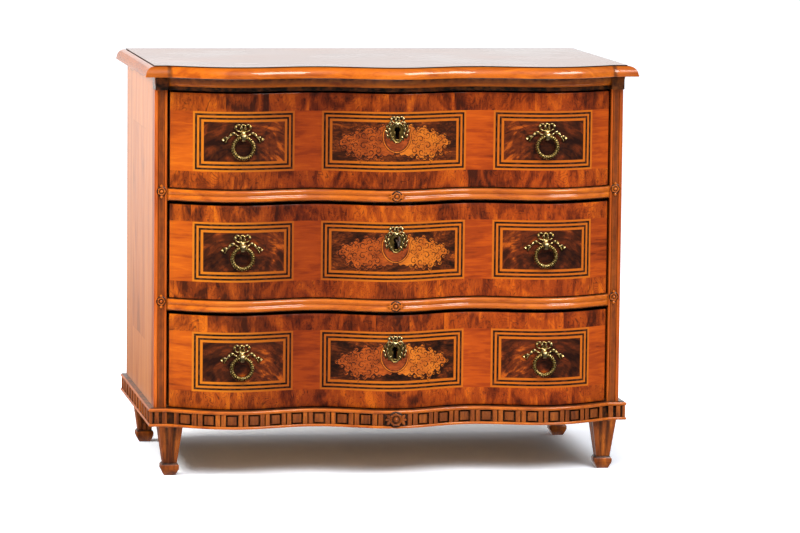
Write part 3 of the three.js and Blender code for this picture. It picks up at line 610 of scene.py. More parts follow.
class Graph:
    """A material's node graph, built socket by socket."""

    def __init__(self, name: str, owner: bpy.types.ID | None = None) -> None:
        """Args: name: the material's name; owner: a world that takes the nodes in a material's stead."""
        self.material = owner or bpy.data.materials.new(name)
        self.material.use_nodes = True
        self.tree = self.material.node_tree
        self.tree.nodes.clear()
        kind = "Material" if owner is None else "World"
        self.output = self.tree.nodes.new(f"ShaderNodeOutput{kind}")
        self.object = self.made("TexCoord", "Object") if owner is None else None

    def node(self, kind: str, inputs: dict[object, object], **settings: object) -> bpy.types.Node:
        """Makes a node.

        Args:
            kind: node type, without "ShaderNode".
            inputs: signals or values by the input's name or number.
            settings: properties of the node.

        Returns:
            The node.
        """
        node = self.tree.nodes.new(f"ShaderNode{kind}")
        for key, value in settings.items():
            setattr(node, key, value)
        for key, value in inputs.items():
            self.feed(node.inputs[key], value)
        return node

    def made(
        self, kind: str, output: object = 0, inputs: dict[object, object] | None = None, **settings: object
    ) -> Signal:
        """Args: kind, inputs, settings: as node() takes them; output: which. Returns: the node's output."""
        return Signal(self, self.node(kind, inputs or {}, **settings).outputs[output])

    def feed(self, socket: bpy.types.NodeSocket, value: object) -> None:
        """Args: socket: an input; value: a signal to link to it, or a value to keep in it."""
        if isinstance(value, Signal):
            self.tree.links.new(value.socket, socket)
        elif isinstance(value, tuple) and len(value) == 3 and socket.type == "RGBA":
            socket.default_value = (*value, 1.0)
        else:
            socket.default_value = value

    def math(self, operation: str, *values: object, clamp: bool = False) -> Signal:
        """Args: operation: of the Math node; values: its inputs; clamp: to 0..1. Returns: the result."""
        return self.made("Math", 0, dict(enumerate(values)), operation=operation, use_clamp=clamp)

    def split(self, kind: str, value: Signal) -> list[Signal]:
        """Args: kind: of a Separate node; value: what it takes apart. Returns: the parts."""
        return [Signal(self, output) for output in self.node(kind, {0: value}).outputs]

    def vector(self, *parts: object) -> Signal:
        """Args: parts: x, y and z, as signals or numbers. Returns: the vector that they make."""
        return self.made("CombineXYZ", 0, dict(enumerate(parts)))

    def noise(
        self, place: object, scale: float, detail: float = 4.0, roughness: float = 0.55,
        distortion: float = 0.0,
    ) -> Signal:
        """Args: place: coordinate; the rest as the Noise Texture's own. Returns: its factor."""
        own = {"Scale": scale, "Detail": detail, "Roughness": roughness, "Distortion": distortion}
        return self.made("TexNoise", "Fac", {"Vector": place, **own})

    def grain(
        self, stretch: Colour, detail: float, roughness: float = 0.55, distortion: float = 0.0,
        shift: object = (0.0, 0.0, 0.0),
    ) -> Signal:
        """Makes the streaks of a cut board.

        Args:
            stretch: times each axis of the Object coordinate; the least is along the grain.
            detail, roughness, distortion: as the Noise Texture's own.
            shift: added to the coordinate, so that each board has its own grain.

        Returns:
            The noise's factor.
        """
        grown = self.made("VectorMath", 0, {0: self.object, 1: stretch}, operation="MULTIPLY")
        place = self.made("VectorMath", 0, {0: grown, 1: shift}, operation="ADD")
        return self.noise(place, 1.0, detail, roughness, distortion)

    def ramp(self, fac: object, stops: Stops, kind: str = "EASE") -> Signal:
        """Args: fac: 0 to 1; stops: places and colours; kind: of blend. Returns: the colour."""
        made = self.node("ValToRGB", {0: fac})
        made.color_ramp.interpolation = kind
        elements = made.color_ramp.elements
        while len(elements) < len(stops):
            elements.new(1.0)
        for element, (place, colour) in zip(elements, stops):
            element.position = place
            element.color = (*colour, 1.0)
        return Signal(self, made.outputs[0])

    def window(self, value: object, low: float, high: float, start: float = 0.0, end: float = 1.0) -> Signal:
        """Args: value; low, high: its span; start, end: new span. Returns: the value, mapped and held."""
        inputs = {"Value": value, "From Min": low, "From Max": high, "To Min": start, "To Max": end}
        return self.made("MapRange", 0, inputs)

    def mix(self, fac: object, first: object, second: object, blend: str = "MIX") -> Signal:
        """Args: fac: share of the second; first, second: colours; blend: mode. Returns: the mix."""
        return self.made("Mix", 2, {0: fac, 6: first, 7: second}, data_type="RGBA", blend_type=blend)

    def bump(self, height: object, strength: float, distance: float) -> Signal:
        """Args: height; strength; distance: in metres. Returns: the bumped normal."""
        return self.made("Bump", 0, {"Height": height, "Strength": strength, "Distance": distance})

    def show(self, shader: Signal) -> Material:
        """Args: shader: what the surface shows. Returns: the finished material."""
        self.feed(self.output.inputs["Surface"], shader)
        return self.material

    def surface(self, colour: object, **inputs: object) -> Material:
        """Args: colour: base colour; inputs: shader inputs by name. Returns: the finished material."""
        named = {key.replace("_", " ").title().replace("Ior", "IOR"): value for key, value in inputs.items()}
        return self.show(self.made("BsdfPrincipled", 0, {"Base Color": colour, **named}))


@dataclass(frozen=True)
class Polish:
    """Shellac polish over wood.

    Args:
        roughness: of the wood below.
        coat: weight of the clear coat.
        coat_roughness: of the coat's own shine.
    """

    roughness: float = 0.42
    coat: float = 0.75
    coat_roughness: float = 0.07

    def over(
        self, graph: Graph, colour: Signal, pores: Signal, depth: Point, shine: float, spread_by: Point,
        patches: Signal | None = None,
    ) -> Material:
        """Finishes a wood.

        Args:
            graph: of the material.
            colour: of the wood.
            pores: fine grain that the polish follows.
            depth: strength and distance of the pores' bump.
            shine: specular level of the wood.
            spread_by: how far the roughness falls and rises about its mean.
            patches: what the roughness follows, if not the pores.

        Returns:
            The finished material.
        """
        low, high = self.roughness - spread_by[0], self.roughness + spread_by[1]
        rough = graph.window(patches or pores, 0.3, 0.7, low, high)
        return graph.surface(
            colour, roughness=rough, specular_ior_level=shine, normal=graph.bump(pores, *depth),
            coat_weight=self.coat, coat_roughness=self.coat_roughness,
        )


@dataclass(frozen=True)
class WalnutFinish:
    """Straight-grained polished walnut.

    Args:
        name: the material's name.
        light, middle, dark: tones of the grain.
        stretch: coordinate scale along each axis; the least is along the grain.
        polish: the coat on top.
        grime: near-black tone that the hollow attribute mixes in: painted shade in hollows, gaps and recesses,
            with some dirt.
    """

    name: str
    light: Colour
    middle: Colour
    dark: Colour
    stretch: Colour
    polish: Polish = Polish()
    grime: Colour = (0.014, 0.007, 0.004)

    def material(self) -> Material:
        """Returns: the finished material."""
        graph = Graph(self.name)
        figure = graph.grain(self.stretch, 5.0, 0.6, 0.9)
        broad = graph.noise(graph.object, 5.0, 2.0, 0.5)
        stops = ((0.34, self.dark), (0.5, self.middle), (0.66, self.light))
        colour = graph.ramp(figure * 0.72 + broad * 0.28, stops)
        pores = graph.grain(tuple(value * 7 for value in self.stretch), 3.0, 0.7)
        colour = graph.mix((1.0 - graph.window(pores, 0.33, 0.46)) * 0.55, colour, self.dark)
        # Painted shade, with some dirt: the hollow attribute darkens hollows, gaps and recesses towards the
        # near-black tone.
        gathered = graph.made("Attribute", "Fac", attribute_name="hollow")
        patch = graph.window(graph.noise(graph.object, 70.0, 3.0, 0.6), 0.3, 0.7, 0.7, 1.1)
        colour = graph.mix(graph.math("MULTIPLY", gathered, patch, clamp=True), colour, self.grime)
        return self.polish.over(graph, colour, pores, (0.12, 0.0004), 0.22, (0.08, 0.08), broad)


@dataclass(frozen=True)
class DrawerVeneer:
    """Drawer fronts: crossbanded edge, string-inlaid frames and figured fields.

    Args:
        name: the material's name.
        foot: height of the lowest front's lower edge.
        pitch: height from one drawer to the next.
        middle: height of the frames' middle above a front's lower edge.
        half_height: outer half height of the frames.
        centre_half, side_half: outer half widths of the middle frame and of a side frame.
        side_place: middle of a side frame.
        drift: how far all the frames stand to the right of their place.
        plume_root: how far below a side frame's middle its figure has its centre.
        soft: width over which two woods meet.
        strings: widths of the strings from the outer edge inwards, light and dark by turns.
        light, dark, worn: tones of the strings and of their worn places.
        vein: tone of the dark veins.
        polish: the coat on top.
        shades: tint of the ground along the front, from left to right.
    """

    name: str
    foot: float
    pitch: float
    middle: float = 0.1005
    half_height: float = 0.0635
    centre_half: float = 0.1552
    side_half: float = 0.108
    side_place: float = 0.322
    drift: float = 0.0016
    plume_root: float = 0.095
    soft: float = 0.0004
    strings: tuple[float, ...] = (0.0040, 0.0042, 0.0042, 0.0042, 0.0050)
    light: Colour = (0.62, 0.165, 0.006)
    dark: Colour = (0.010, 0.007, 0.005)
    worn: Colour = (0.42, 0.11, 0.02)
    vein: Colour = (0.022, 0.007, 0.003)
    polish: Polish = Polish(roughness=0.5, coat=0.40, coat_roughness=0.10)
    shades: Stops = (
        (0.02, (0.80, 0.86, 0.8)), (0.12, (0.78, 0.80, 0.7)), (0.31, (0.50, 0.38, 0.40)),
        (0.50, (0.78, 0.72, 0.6)), (0.68, (0.84, 0.72, 0.6)), (0.86, (0.76, 0.62, 0.55)),
        (0.98, (0.86, 0.80, 0.7)),
    )

    def material(self) -> Material:
        """Returns: the finished material."""
        graph = Graph(self.name)
        x, _, z = graph.split("SeparateXYZ", graph.object)
        row = (z - self.foot) // self.pitch
        up = (z - self.foot) % self.pitch - self.middle
        over = abs(up) - self.half_height
        reach = abs(x - self.drift)
        centre = graph.math("MAXIMUM", reach - self.centre_half, over)
        side = graph.math("MAXIMUM", abs(reach - self.side_place) - self.side_half, over)
        edge = graph.math("MINIMUM", centre, side)
        seam = 0.75 * self.soft
        depth = sum(self.strings)
        plain = self.plain_field(graph, row)
        ground = graph.mix(graph.window(over, 0.0, self.soft), plain, self.crossband(graph, x, up, row))
        framed = graph.mix(graph.window(edge, seam, -seam), ground, self.string_colour(graph, edge))
        core = graph.window(edge, seam - depth, -seam - depth)
        plumed = self.plume(graph, reach - self.side_place, up, row)
        figured = graph.mix(graph.window(side, 0.0, self.soft), plumed, self.crotch(graph, row))
        tint = graph.ramp(graph.window(x, -0.5, 0.5), self.shades)
        tinted = graph.window(core, 0.0, 1.0, 1.0, 0.35)
        colour = graph.mix(tinted, graph.mix(core, framed, figured), tint, "MULTIPLY")
        pores = graph.grain((420.0, 420.0, 90.0), 3.0, 0.7)
        return self.polish.over(graph, colour, pores, (0.08, 0.0003), 0.12, (0.06, 0.1))

    def string_colour(self, graph: Graph, edge: Signal) -> Signal:
        """Args: graph; edge: distance outside the frame. Returns: the strings' colour."""
        span = sum(self.strings) + 2 * self.soft
        stops = []
        depth = 0.0
        for index, width in enumerate(self.strings):
            tone = self.dark if index % 2 else self.light
            stops.append(((depth + self.soft) / span, tone))
            depth += width
            stops.append(((depth - self.soft) / span, tone))
        strings = graph.ramp(graph.window(edge, 0.0, -span), stops, "LINEAR")
        wear = graph.noise(graph.object, 90.0, 3.0, 0.6)
        return graph.mix(graph.window(wear, 0.45, 0.75, 0.0, 0.35), strings, self.worn)

    def veined(self, graph: Graph, colour: Signal, figure: Signal, width: float, depth: float) -> Signal:
        """Args: graph; colour; figure: noise; width, depth: of the veins. Returns: the veined colour."""
        off = abs(graph.math("PINGPONG", figure, 0.06) - 0.03)
        return graph.mix(graph.window(off, 0.0, width, depth, 0.0), colour, self.vein)

    def crossband(self, graph: Graph, x: Signal, up: Signal, row: Signal) -> Signal:
        """Args: graph; x, up, row: place on the front. Returns: upright grain in blocks of mixed tone."""
        line = x + (graph.window(up, -0.01, 0.01, 0.0, 3.7) + row * 1.37)
        cells = {"W": line, "Scale": 12.0, "Randomness": 0.7}
        block = graph.made("TexVoronoi", "Color", cells, voronoi_dimensions="1D", feature="F1")
        first, second, third = graph.split("SeparateColor", block)
        shift = graph.vector(first * 9.0, row, second * 5.0)
        grain = graph.grain((15.0, 4.0, 8.0), 4.0, 0.5, 2.2, shift)
        fine = graph.grain((100.0, 20.0, 24.0), 4.0, 0.6, 1.8, shift)
        colour = graph.ramp(grain * 0.60 + fine * 0.30 + third * 0.10, (
            (0.355, (0.066, 0.011, 0.002)), (0.435, (0.19, 0.027, 0.002)),
            (0.53, (0.40, 0.066, 0.003)), (0.65, (0.67, 0.142, 0.004)),
        ))
        figure = graph.grain((17.0, 6.0, 9.0), 2.0, 0.5, 2.8, shift)
        return self.veined(graph, colour, figure, 0.008, 0.75)

    def plain_field(self, graph: Graph, row: Signal) -> Signal:
        """Args: graph; row: drawer number. Returns: level grain between the frames."""
        shift = graph.vector(row, row, row * 2.3)
        broad = graph.grain((4.5, 4.5, 4.5), 2.0, 0.5, 0.4, shift)
        grain = graph.grain((6.0, 5.0, 40.0), 5.0, 0.6, 1.6, shift)
        fine = graph.grain((26.0, 20.0, 300.0), 3.0, 0.6, 0.3, shift)
        return graph.ramp(grain * 0.42 + fine * 0.18 + broad * 0.4, (
            (0.36, (0.15, 0.020, 0.002)), (0.45, (0.36, 0.053, 0.003)),
            (0.53, (0.51, 0.086, 0.003)), (0.63, (0.64, 0.130, 0.004)),
        ))

    def crotch(self, graph: Graph, row: Signal) -> Signal:
        """Args: graph; row: drawer number. Returns: dark swirling figure inside the frames."""
        shift = graph.vector(row * 3.1, row, row * 1.9)
        swirl = graph.grain((7.5, 7.5, 15.0), 4.0, 0.55, 2.6, shift)
        lines = graph.grain((24.0, 24.0, 70.0), 4.0, 0.6, 4.0, shift)
        colour = graph.ramp(swirl * 0.6 + lines * 0.4, (
            (0.38, (0.012, 0.004, 0.002)), (0.47, (0.040, 0.009, 0.002)),
            (0.56, (0.120, 0.022, 0.003)), (0.67, (0.42, 0.084, 0.005)),
        ))
        figure = graph.grain((8.0, 6.0, 13.0), 2.0, 0.45, 2.2, shift)
        return self.veined(graph, colour, figure, 0.009, 0.8)

    def plume(self, graph: Graph, across: Signal, up: Signal, row: Signal) -> Signal:
        """Makes the figure of the side frames: strokes that arch over the pull and fall to the middle.

        Args:
            graph: of the material.
            across: distance from the frame's middle, away from the drawer's middle.
            up: height over the frame's middle.
            row: drawer number.

        Returns:
            Its colour.
        """
        over = up + self.plume_root
        radius = graph.math("SQRT", across ** 2.0 + over ** 2.0)
        turn = graph.math("ARCTAN2", across, over)
        broad, fine, veins = (
            graph.vector(radius * through, turn * along, row * 3.7)
            for along, through in ((2.2, 26.0), (3.4, 120.0), (2.6, 34.0))
        )
        swirl = graph.noise(broad, 1.0, 3.0, 0.5, 0.9)
        lines = graph.noise(fine, 1.0, 4.0, 0.55, 0.8)
        tone = swirl * 0.58 + lines * 0.42 + graph.window(across, 0.02, -0.10, -0.03, 0.07)
        colour = graph.ramp(tone, (
            (0.38, (0.018, 0.004, 0.002)), (0.47, (0.050, 0.010, 0.002)),
            (0.57, (0.135, 0.022, 0.003)), (0.68, (0.46, 0.090, 0.005)),
        ))
        return self.veined(graph, colour, graph.noise(veins, 1.0, 2.0, 0.45, 1.2), 0.008, 0.75)


@dataclass(frozen=True)
class PanelVeneer:
    """Veneer of a side of the chest: a figured field within a plain border.

    Args:
        name: the material's name.
        low, high: corners of the panel, as (y, z).
        border: width of the border.
        plain, figured: tones of the border and of the field, from dark to light.
        polish: the coat on top.
    """

    name: str
    low: Point
    high: Point
    border: float = 0.125
    # These tones are paler than the front's walnut: partly the veneer's own and partly painted sheen that
    # stands for the glare on the sides.
    plain: tuple[Colour, ...] = ((0.60, 0.170, 0.034), (0.76, 0.245, 0.056), (0.84, 0.300, 0.080))
    figured: tuple[Colour, ...] = ((0.46, 0.138, 0.032), (0.67, 0.200, 0.044), (0.80, 0.265, 0.066))
    polish: Polish = Polish(roughness=0.36, coat=0.9, coat_roughness=0.12)

    def material(self) -> Material:
        """Returns: the finished material."""
        graph = Graph(self.name)
        _, *axes = graph.split("SeparateXYZ", graph.object)
        edge = graph.math("MAXIMUM", *(
            abs(axis - (start + end) / 2) - ((end - start) / 2 - self.border)
            for axis, start, end in zip(axes, self.low, self.high)
        ))
        straight = graph.grain((20.0, 20.0, 2.0), 4.0, 0.6, 0.6)
        plain = graph.ramp(straight, tuple(zip((0.34, 0.5, 0.66), self.plain)))
        flame = graph.grain((9.0, 11.0, 2.2), 5.0, 0.6, 1.8)
        figured = graph.ramp(flame, tuple(zip((0.34, 0.46, 0.62), self.figured)))
        colour = graph.mix(graph.window(edge, -0.0006, 0.0006), figured, plain)
        colour = graph.mix(graph.window(abs(edge), 0.0, 0.0016, 0.55, 0.0), colour, self.figured[0])
        pores = graph.grain((260.0, 260.0, 22.0), 3.0, 0.7)
        colour = graph.mix(graph.window(pores, 0.34, 0.44, 0.35, 0.0), colour, self.figured[0])
        return self.polish.over(graph, colour, pores, (0.10, 0.0003), 0.22, (0.06, 0.06))


@dataclass(frozen=True)
class SoftwoodFinish:
    """Planed, unfinished softwood of the carcass.

    Args:
        name: the material's name.
        stretch: coordinate scale; the least is along the grain.
        board: height of one board; the default makes a single board.
        light, dark: tones of the early and late wood.
        joint: tone of the gaps between boards.
    """

    name: str
    stretch: Colour
    board: float = 10.0
    light: Colour = (0.56, 0.36, 0.18)
    dark: Colour = (0.38, 0.215, 0.095)
    joint: Colour = (0.07, 0.035, 0.016)

    def material(self) -> Material:
        """Returns: the finished material."""
        graph = Graph(self.name)
        _, _, z = graph.split("SeparateXYZ", graph.object)
        row = z // self.board
        shift = graph.vector(row * 3.7, row, row * 1.9)
        rings = graph.grain(self.stretch, 2.0, 0.45, 0.5, shift)
        bands = graph.window(graph.math("SINE", rings * 70.0), -1.0, 1.0)
        fine = graph.grain(tuple(11 * value for value in self.stretch), 4.0, 0.65, shift=shift)
        tone = bands * 0.22 + fine * 0.40 + rings * 0.38
        colour = graph.ramp(tone, ((0.34, self.dark), (0.66, self.light)))
        age = graph.noise(graph.object, 3.0, 4.0, 0.6)
        colour = graph.mix(graph.window(age, 0.35, 0.7, 0.0, 0.45), colour, self.dark, "MULTIPLY")
        half = self.board / 2
        gap = graph.window(abs(z % self.board - half), half - 0.0016, half - 0.0006, 0.0, 0.85)
        colour = graph.mix(gap, colour, self.joint)
        return graph.surface(colour, roughness=0.78, normal=graph.bump(fine, 0.12, 0.0003))


@dataclass(frozen=True)
class GiltBrass:
    """Cast and chased brass with worn gilding, toned by relief height: pale ridges that are partly wear and
    partly painted highlight, and near-black hollows that are partly old dirt and partly painted shade.

    Args:
        name: the material's name.
        ridge, body, hollow: tones by height of the relief, from painted highlight on the ridges to painted
            shade in the hollows.
    """

    name: str = "gilt_brass"
    ridge: Colour = (0.88, 0.69, 0.33)
    body: Colour = (0.36, 0.235, 0.062)
    hollow: Colour = (0.018, 0.010, 0.004)

    def material(self) -> Material:
        """Returns: the finished material."""
        graph = Graph(self.name)
        relief = graph.made("Attribute", "Fac", attribute_name="relief")
        wear = graph.noise(graph.object, 260.0, 4.0, 0.65)
        height = relief + graph.window(wear, 0.3, 0.7, -0.22, 0.22)
        # Paints highlight on the ridges and shade in the hollows, over the gilding's wear.
        colour = graph.ramp(height, ((0.20, self.hollow), (0.60, self.body), (1.0, self.ridge)))
        rough = graph.window(height, 0.0, 1.0, 0.58, 0.34)
        chase = graph.noise(graph.object, 900.0, 2.0, 0.5)
        return graph.surface(colour, metallic=1.0, roughness=rough, normal=graph.bump(chase, 0.25, 0.0004))


@dataclass(frozen=True)
class LockIron:
    """Forged iron, dark with a little rust.

    Args:
        name: the material's name.
        bare, rust: tones of the metal and of its rust.
    """

    name: str = "lock_iron"
    bare: Colour = (0.16, 0.145, 0.13)
    rust: Colour = (0.09, 0.042, 0.022)

    def material(self) -> Material:
        """Returns: the finished material."""
        graph = Graph(self.name)
        scale = graph.noise(graph.object, 120.0, 5.0, 0.65)
        colour = graph.ramp(scale, ((0.42, self.rust), (0.56, self.bare)))
        rough = graph.window(scale, 0.4, 0.6, 0.7, 0.38)
        return graph.surface(colour, metallic=0.85, roughness=rough, normal=graph.bump(scale, 0.2, 0.0003))


@dataclass(frozen=True)
class InlayFinish:
    """Polished marquetry wood with fine grain.

    Args:
        name: the material's name.
        light, dark: tones of the grain.
        stretch: coordinate scale; the least is along the grain.
    """

    name: str
    light: Colour
    dark: Colour
    stretch: Colour = (60.0, 60.0, 260.0)

    def material(self) -> Material:
        """Returns: the finished material."""
        graph = Graph(self.name)
        grain = graph.grain(self.stretch, 4.0, 0.6, 1.4)
        patch = graph.noise(graph.object, 38.0, 3.0, 0.5)
        colour = graph.ramp(grain * 0.5 + patch * 0.5, ((0.36, self.dark), (0.64, self.light)))
        rough = graph.window(grain, 0.3, 0.7, 0.34, 0.5)
        gloss = {"specular_ior_level": 0.16, "coat_weight": 0.35, "coat_roughness": 0.1}
        return graph.surface(colour, roughness=rough, **gloss)


@dataclass
class Builder:
    """What every sub-assembly needs to be made.

    Args:
        layout: shared planes of the chest.
        shop: turns meshes into pieces.
    """

    layout: Layout
    shop: Workshop

    def on_front(self, x: float, proud: float, z: float, face: float) -> Vector:
        """Args: x, z: place; proud: height off the face; face: y at the posts. Returns: the point."""
        return Vector((x, face - self.layout.curve.bulge(x) - proud, z))

    def behind(self, point: Vector, face: float) -> float:
        """Args: point; face: y at the posts. Returns: how far the point lies behind the front."""
        return point.y - face + self.layout.curve.bulge(point.x)

    def around_front(self, face: float, wave_half: float, corner_half: float, steps: int) -> Stations:
        """Args: face: y at the posts; half widths; steps. Returns: the front's line and its mitred ends."""
        wave = [(self.on_front(x, 0, 0, face), Vector((0, -1, 0))) for x in spread(wave_half, steps)]
        left, right = ((Vector((s.sign * corner_half, face, 0)), Vector((s.sign, -1, 0))) for s in Side)
        return [left, *wave, right]

    def along_side(self, side: Side, half: float, front: float, back: float) -> Stations:
        """Args: side; half: its distance from the middle; front, back: y. Returns: the side's line."""
        x = side.sign * half
        return [
            (Vector((x, front, 0)), Vector((side.sign, -1, 0))),
            (Vector((x, back, 0)), Vector((side.sign, 0, 0))),
        ]

    def bolt_pocket(self, number: int, under: float, travel: float = 0.008, gap: float = 0.0005) -> Mesh:
        """Makes the solid of the pocket that takes a lock's bolt.

        Args:
            number: of the drawer below.
            under: height of the underside that the pocket opens.
            travel: of the bolt.
            gap: around the thrown bolt.

        Returns:
            The solid to cut away.
        """
        low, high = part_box(f"bolt_{number}")
        near = (low.x - gap, low.y - gap, under - travel)
        far = (high.x + gap, high.y + gap, high.z + travel + gap)
        return rounded_box(near, far, gap / 2, 1)


@dataclass
class TopBoard(Builder):
    """Veneered top with its ovolo edge moulding on three sides.

    Args:
        finish, edge: veneer of the top, and the near-black finish of the board's exposed front and sides,
            which paints the shade of the groove beside the moulding.
        lip: height of the square edge under the ovolo.
        quirk: width and depth of the small groove beside the top's veneer.
        step: how far the veneered board rises above the moulding.
        corner_length: length of the corner pieces of the front moulding.
        joint: half width of the dark line where they start.
        steps: stations across the front.
    """

    finish: Material | None = None
    edge: Material | None = None
    lip: float = 0.0045
    quirk: float = 0.0013
    step: float = 0.0017
    corner_length: float = 0.030
    joint: float = 0.0024
    steps: int = 220

    def build(self) -> None:
        """Makes the top and its mouldings."""
        self.panel()
        self.front_edge()
        for side in Side:
            self.side_edge(side)

    def profile(self) -> list[Point]:
        """Returns: the edge's section as (outward, up), from its inner foot round to the groove."""
        low = self.layout.top_low
        high = self.layout.top_high - self.step
        depth = self.layout.top_half - self.layout.arris_half
        springing = low + self.lip
        inner = -depth + self.quirk
        return [
            (-depth, low), (-0.0008, low), (0.0, low + 0.0008), (0.0, springing - 0.0006),
            (-0.0008, springing),
            *arc((inner, springing), (-inner - 0.0012, high - springing - 0.0003), 0, 88, 18),
            (inner, high - 0.0012), (inner, high - 2 * self.quirk), (-depth, high - 2 * self.quirk),
        ]

    def panel(self) -> None:
        """Makes the veneered board."""
        at = self.layout
        front = at.front_line + at.top_half - at.arris_half
        rim = [self.on_front(x, 0, at.top_low, front) for x in spread(at.arris_half, self.steps)]
        rim += [(at.arris_half, at.top_back, at.top_low), (-at.arris_half, at.top_back, at.top_low)]
        bm = extruded(rim, (0, 0, at.top_high - at.top_low))
        board = self.shop.deliver("top_board", bm, Slot.POLISHED, node="top_panel", finish=self.finish)

        def choose(way: Vector) -> int:
            """Args: way: of a face. Returns: softwood below and behind, and around it the near-black finish
            painted as the groove's shade.
            """
            return 2 if way.y > 0.5 or way.z < -0.5 else 1 if way.z < 0.5 else 0

        face_by_face(board, choose, self.edge, self.shop.finishes[Slot.SOFTWOOD])

    def front_edge(self) -> None:
        """Makes the front moulding, mitred at both corners."""
        at = self.layout
        line = self.around_front(at.front_line, at.arris_half, at.top_half, self.steps)
        bm = swept(self.profile(), line)
        self.shop.deliver("top_edge_front", bm, Slot.MOULDING, node="top_moulding_front", hollow=self.corner)

    def corner(self, point: Vector) -> float:
        """Args: point: on the front moulding. Returns: how much darker the corner pieces are there."""
        past = abs(point.x) - self.layout.arris_half + self.corner_length
        if past < -self.joint:
            return 0.0
        if past < self.joint:
            return 0.75
        return 0.30 if point.x < 0 else 0.12

    def side_edge(self, side: Side) -> None:
        """Args: side: which side's moulding to make."""
        at = self.layout
        bm = swept(self.profile(), self.along_side(side, at.top_half, at.front_line, at.top_back))
        self.shop.deliver(f"top_edge_{side.word}", bm, Slot.MOULDING, node=f"top_moulding_{side.word}")


@dataclass
class Cornice(Builder):
    """Cove under the top, returned square over the posts.

    Args:
        gap, gap_depth: height and depth of the shadow gap over the top drawer.
        foot: height of the plain band under the cove.
        fillet: reach of the small step at the cove's foot.
        reach: how far the cove stands forward under the top.
        block: reach of the corner blocks over the posts.
        return_share: share of the reach by which the ends stand out sideways.
        steps: stations across the front.
    """

    gap: float = 0.0086
    gap_depth: float = 0.0060
    foot: float = 0.0125
    fillet: float = 0.004
    reach: float = 0.013
    block: float = 0.0105
    return_share: float = 0.2
    steps: int = 220

    def build(self) -> None:
        """Makes the cornice."""
        at = self.layout
        low = at.cornice_low
        high = at.top_low
        cove_low = low + self.foot
        lip = low + self.gap
        cove = arc(
            (self.reach, cove_low + 0.001), (self.reach - self.fillet, high - cove_low - 0.001), 180, 90, 14
        )
        section = [
            (None, low), (-self.gap_depth, low), (-self.gap_depth, lip), (-0.0008, lip), (0.0, lip + 0.0006),
            (0.0, cove_low), (self.fillet - 0.0008, cove_low), (self.fillet, cove_low + 0.0008), *cove[1:],
            (None, high),
        ]
        rings = []
        for x in [-at.case_half, *spread(at.opening_half, self.steps), at.case_half]:
            aside = math.copysign(self.return_share, x) if abs(x) >= at.case_half else 0.0
            rings.append([
                Vector((x, at.post_back, up)) if out is None
                else Vector((x + aside * out, at.post_face - at.curve.bulge(x) - out, up))
                for out, up in section
            ])

        def hollow(point: Vector) -> float:
            """Args: point: on the cornice. Returns: how dark it is painted there: painted shadow in the gap
            over the top drawer, painted shade growing up the cove under the top, a little on the ends, and
            more on the corner blocks, the left more than the right.
            """
            if point.z < lip + 0.0002:
                return 1.0
            if abs(point.x) > at.case_half - 0.0001:
                return 0.1
            gathered = 0.85 * held((point.z - cove_low) / (high - cove_low)) ** 0.6 + 0.16
            if abs(point.x) > at.opening_half - 0.0012:
                gathered = max(gathered, 0.62 if point.x < 0 else 0.40)
            return gathered

        cornice = carved(skinned(rings), self.bolt_pocket(3, low))
        for side in Side:
            near, far = sorted((side.sign * (at.opening_half - 0.001), side.sign * (at.case_half - 0.0003)))
            front, back = at.post_face - self.block, at.post_face + 0.012
            merged(cornice, rounded_box((near, front, low), (far, back, high - 0.0004), 0.0009))
        self.shop.deliver("cornice_cove", cornice, Slot.MOULDING, node="cornice", hollow=hollow)


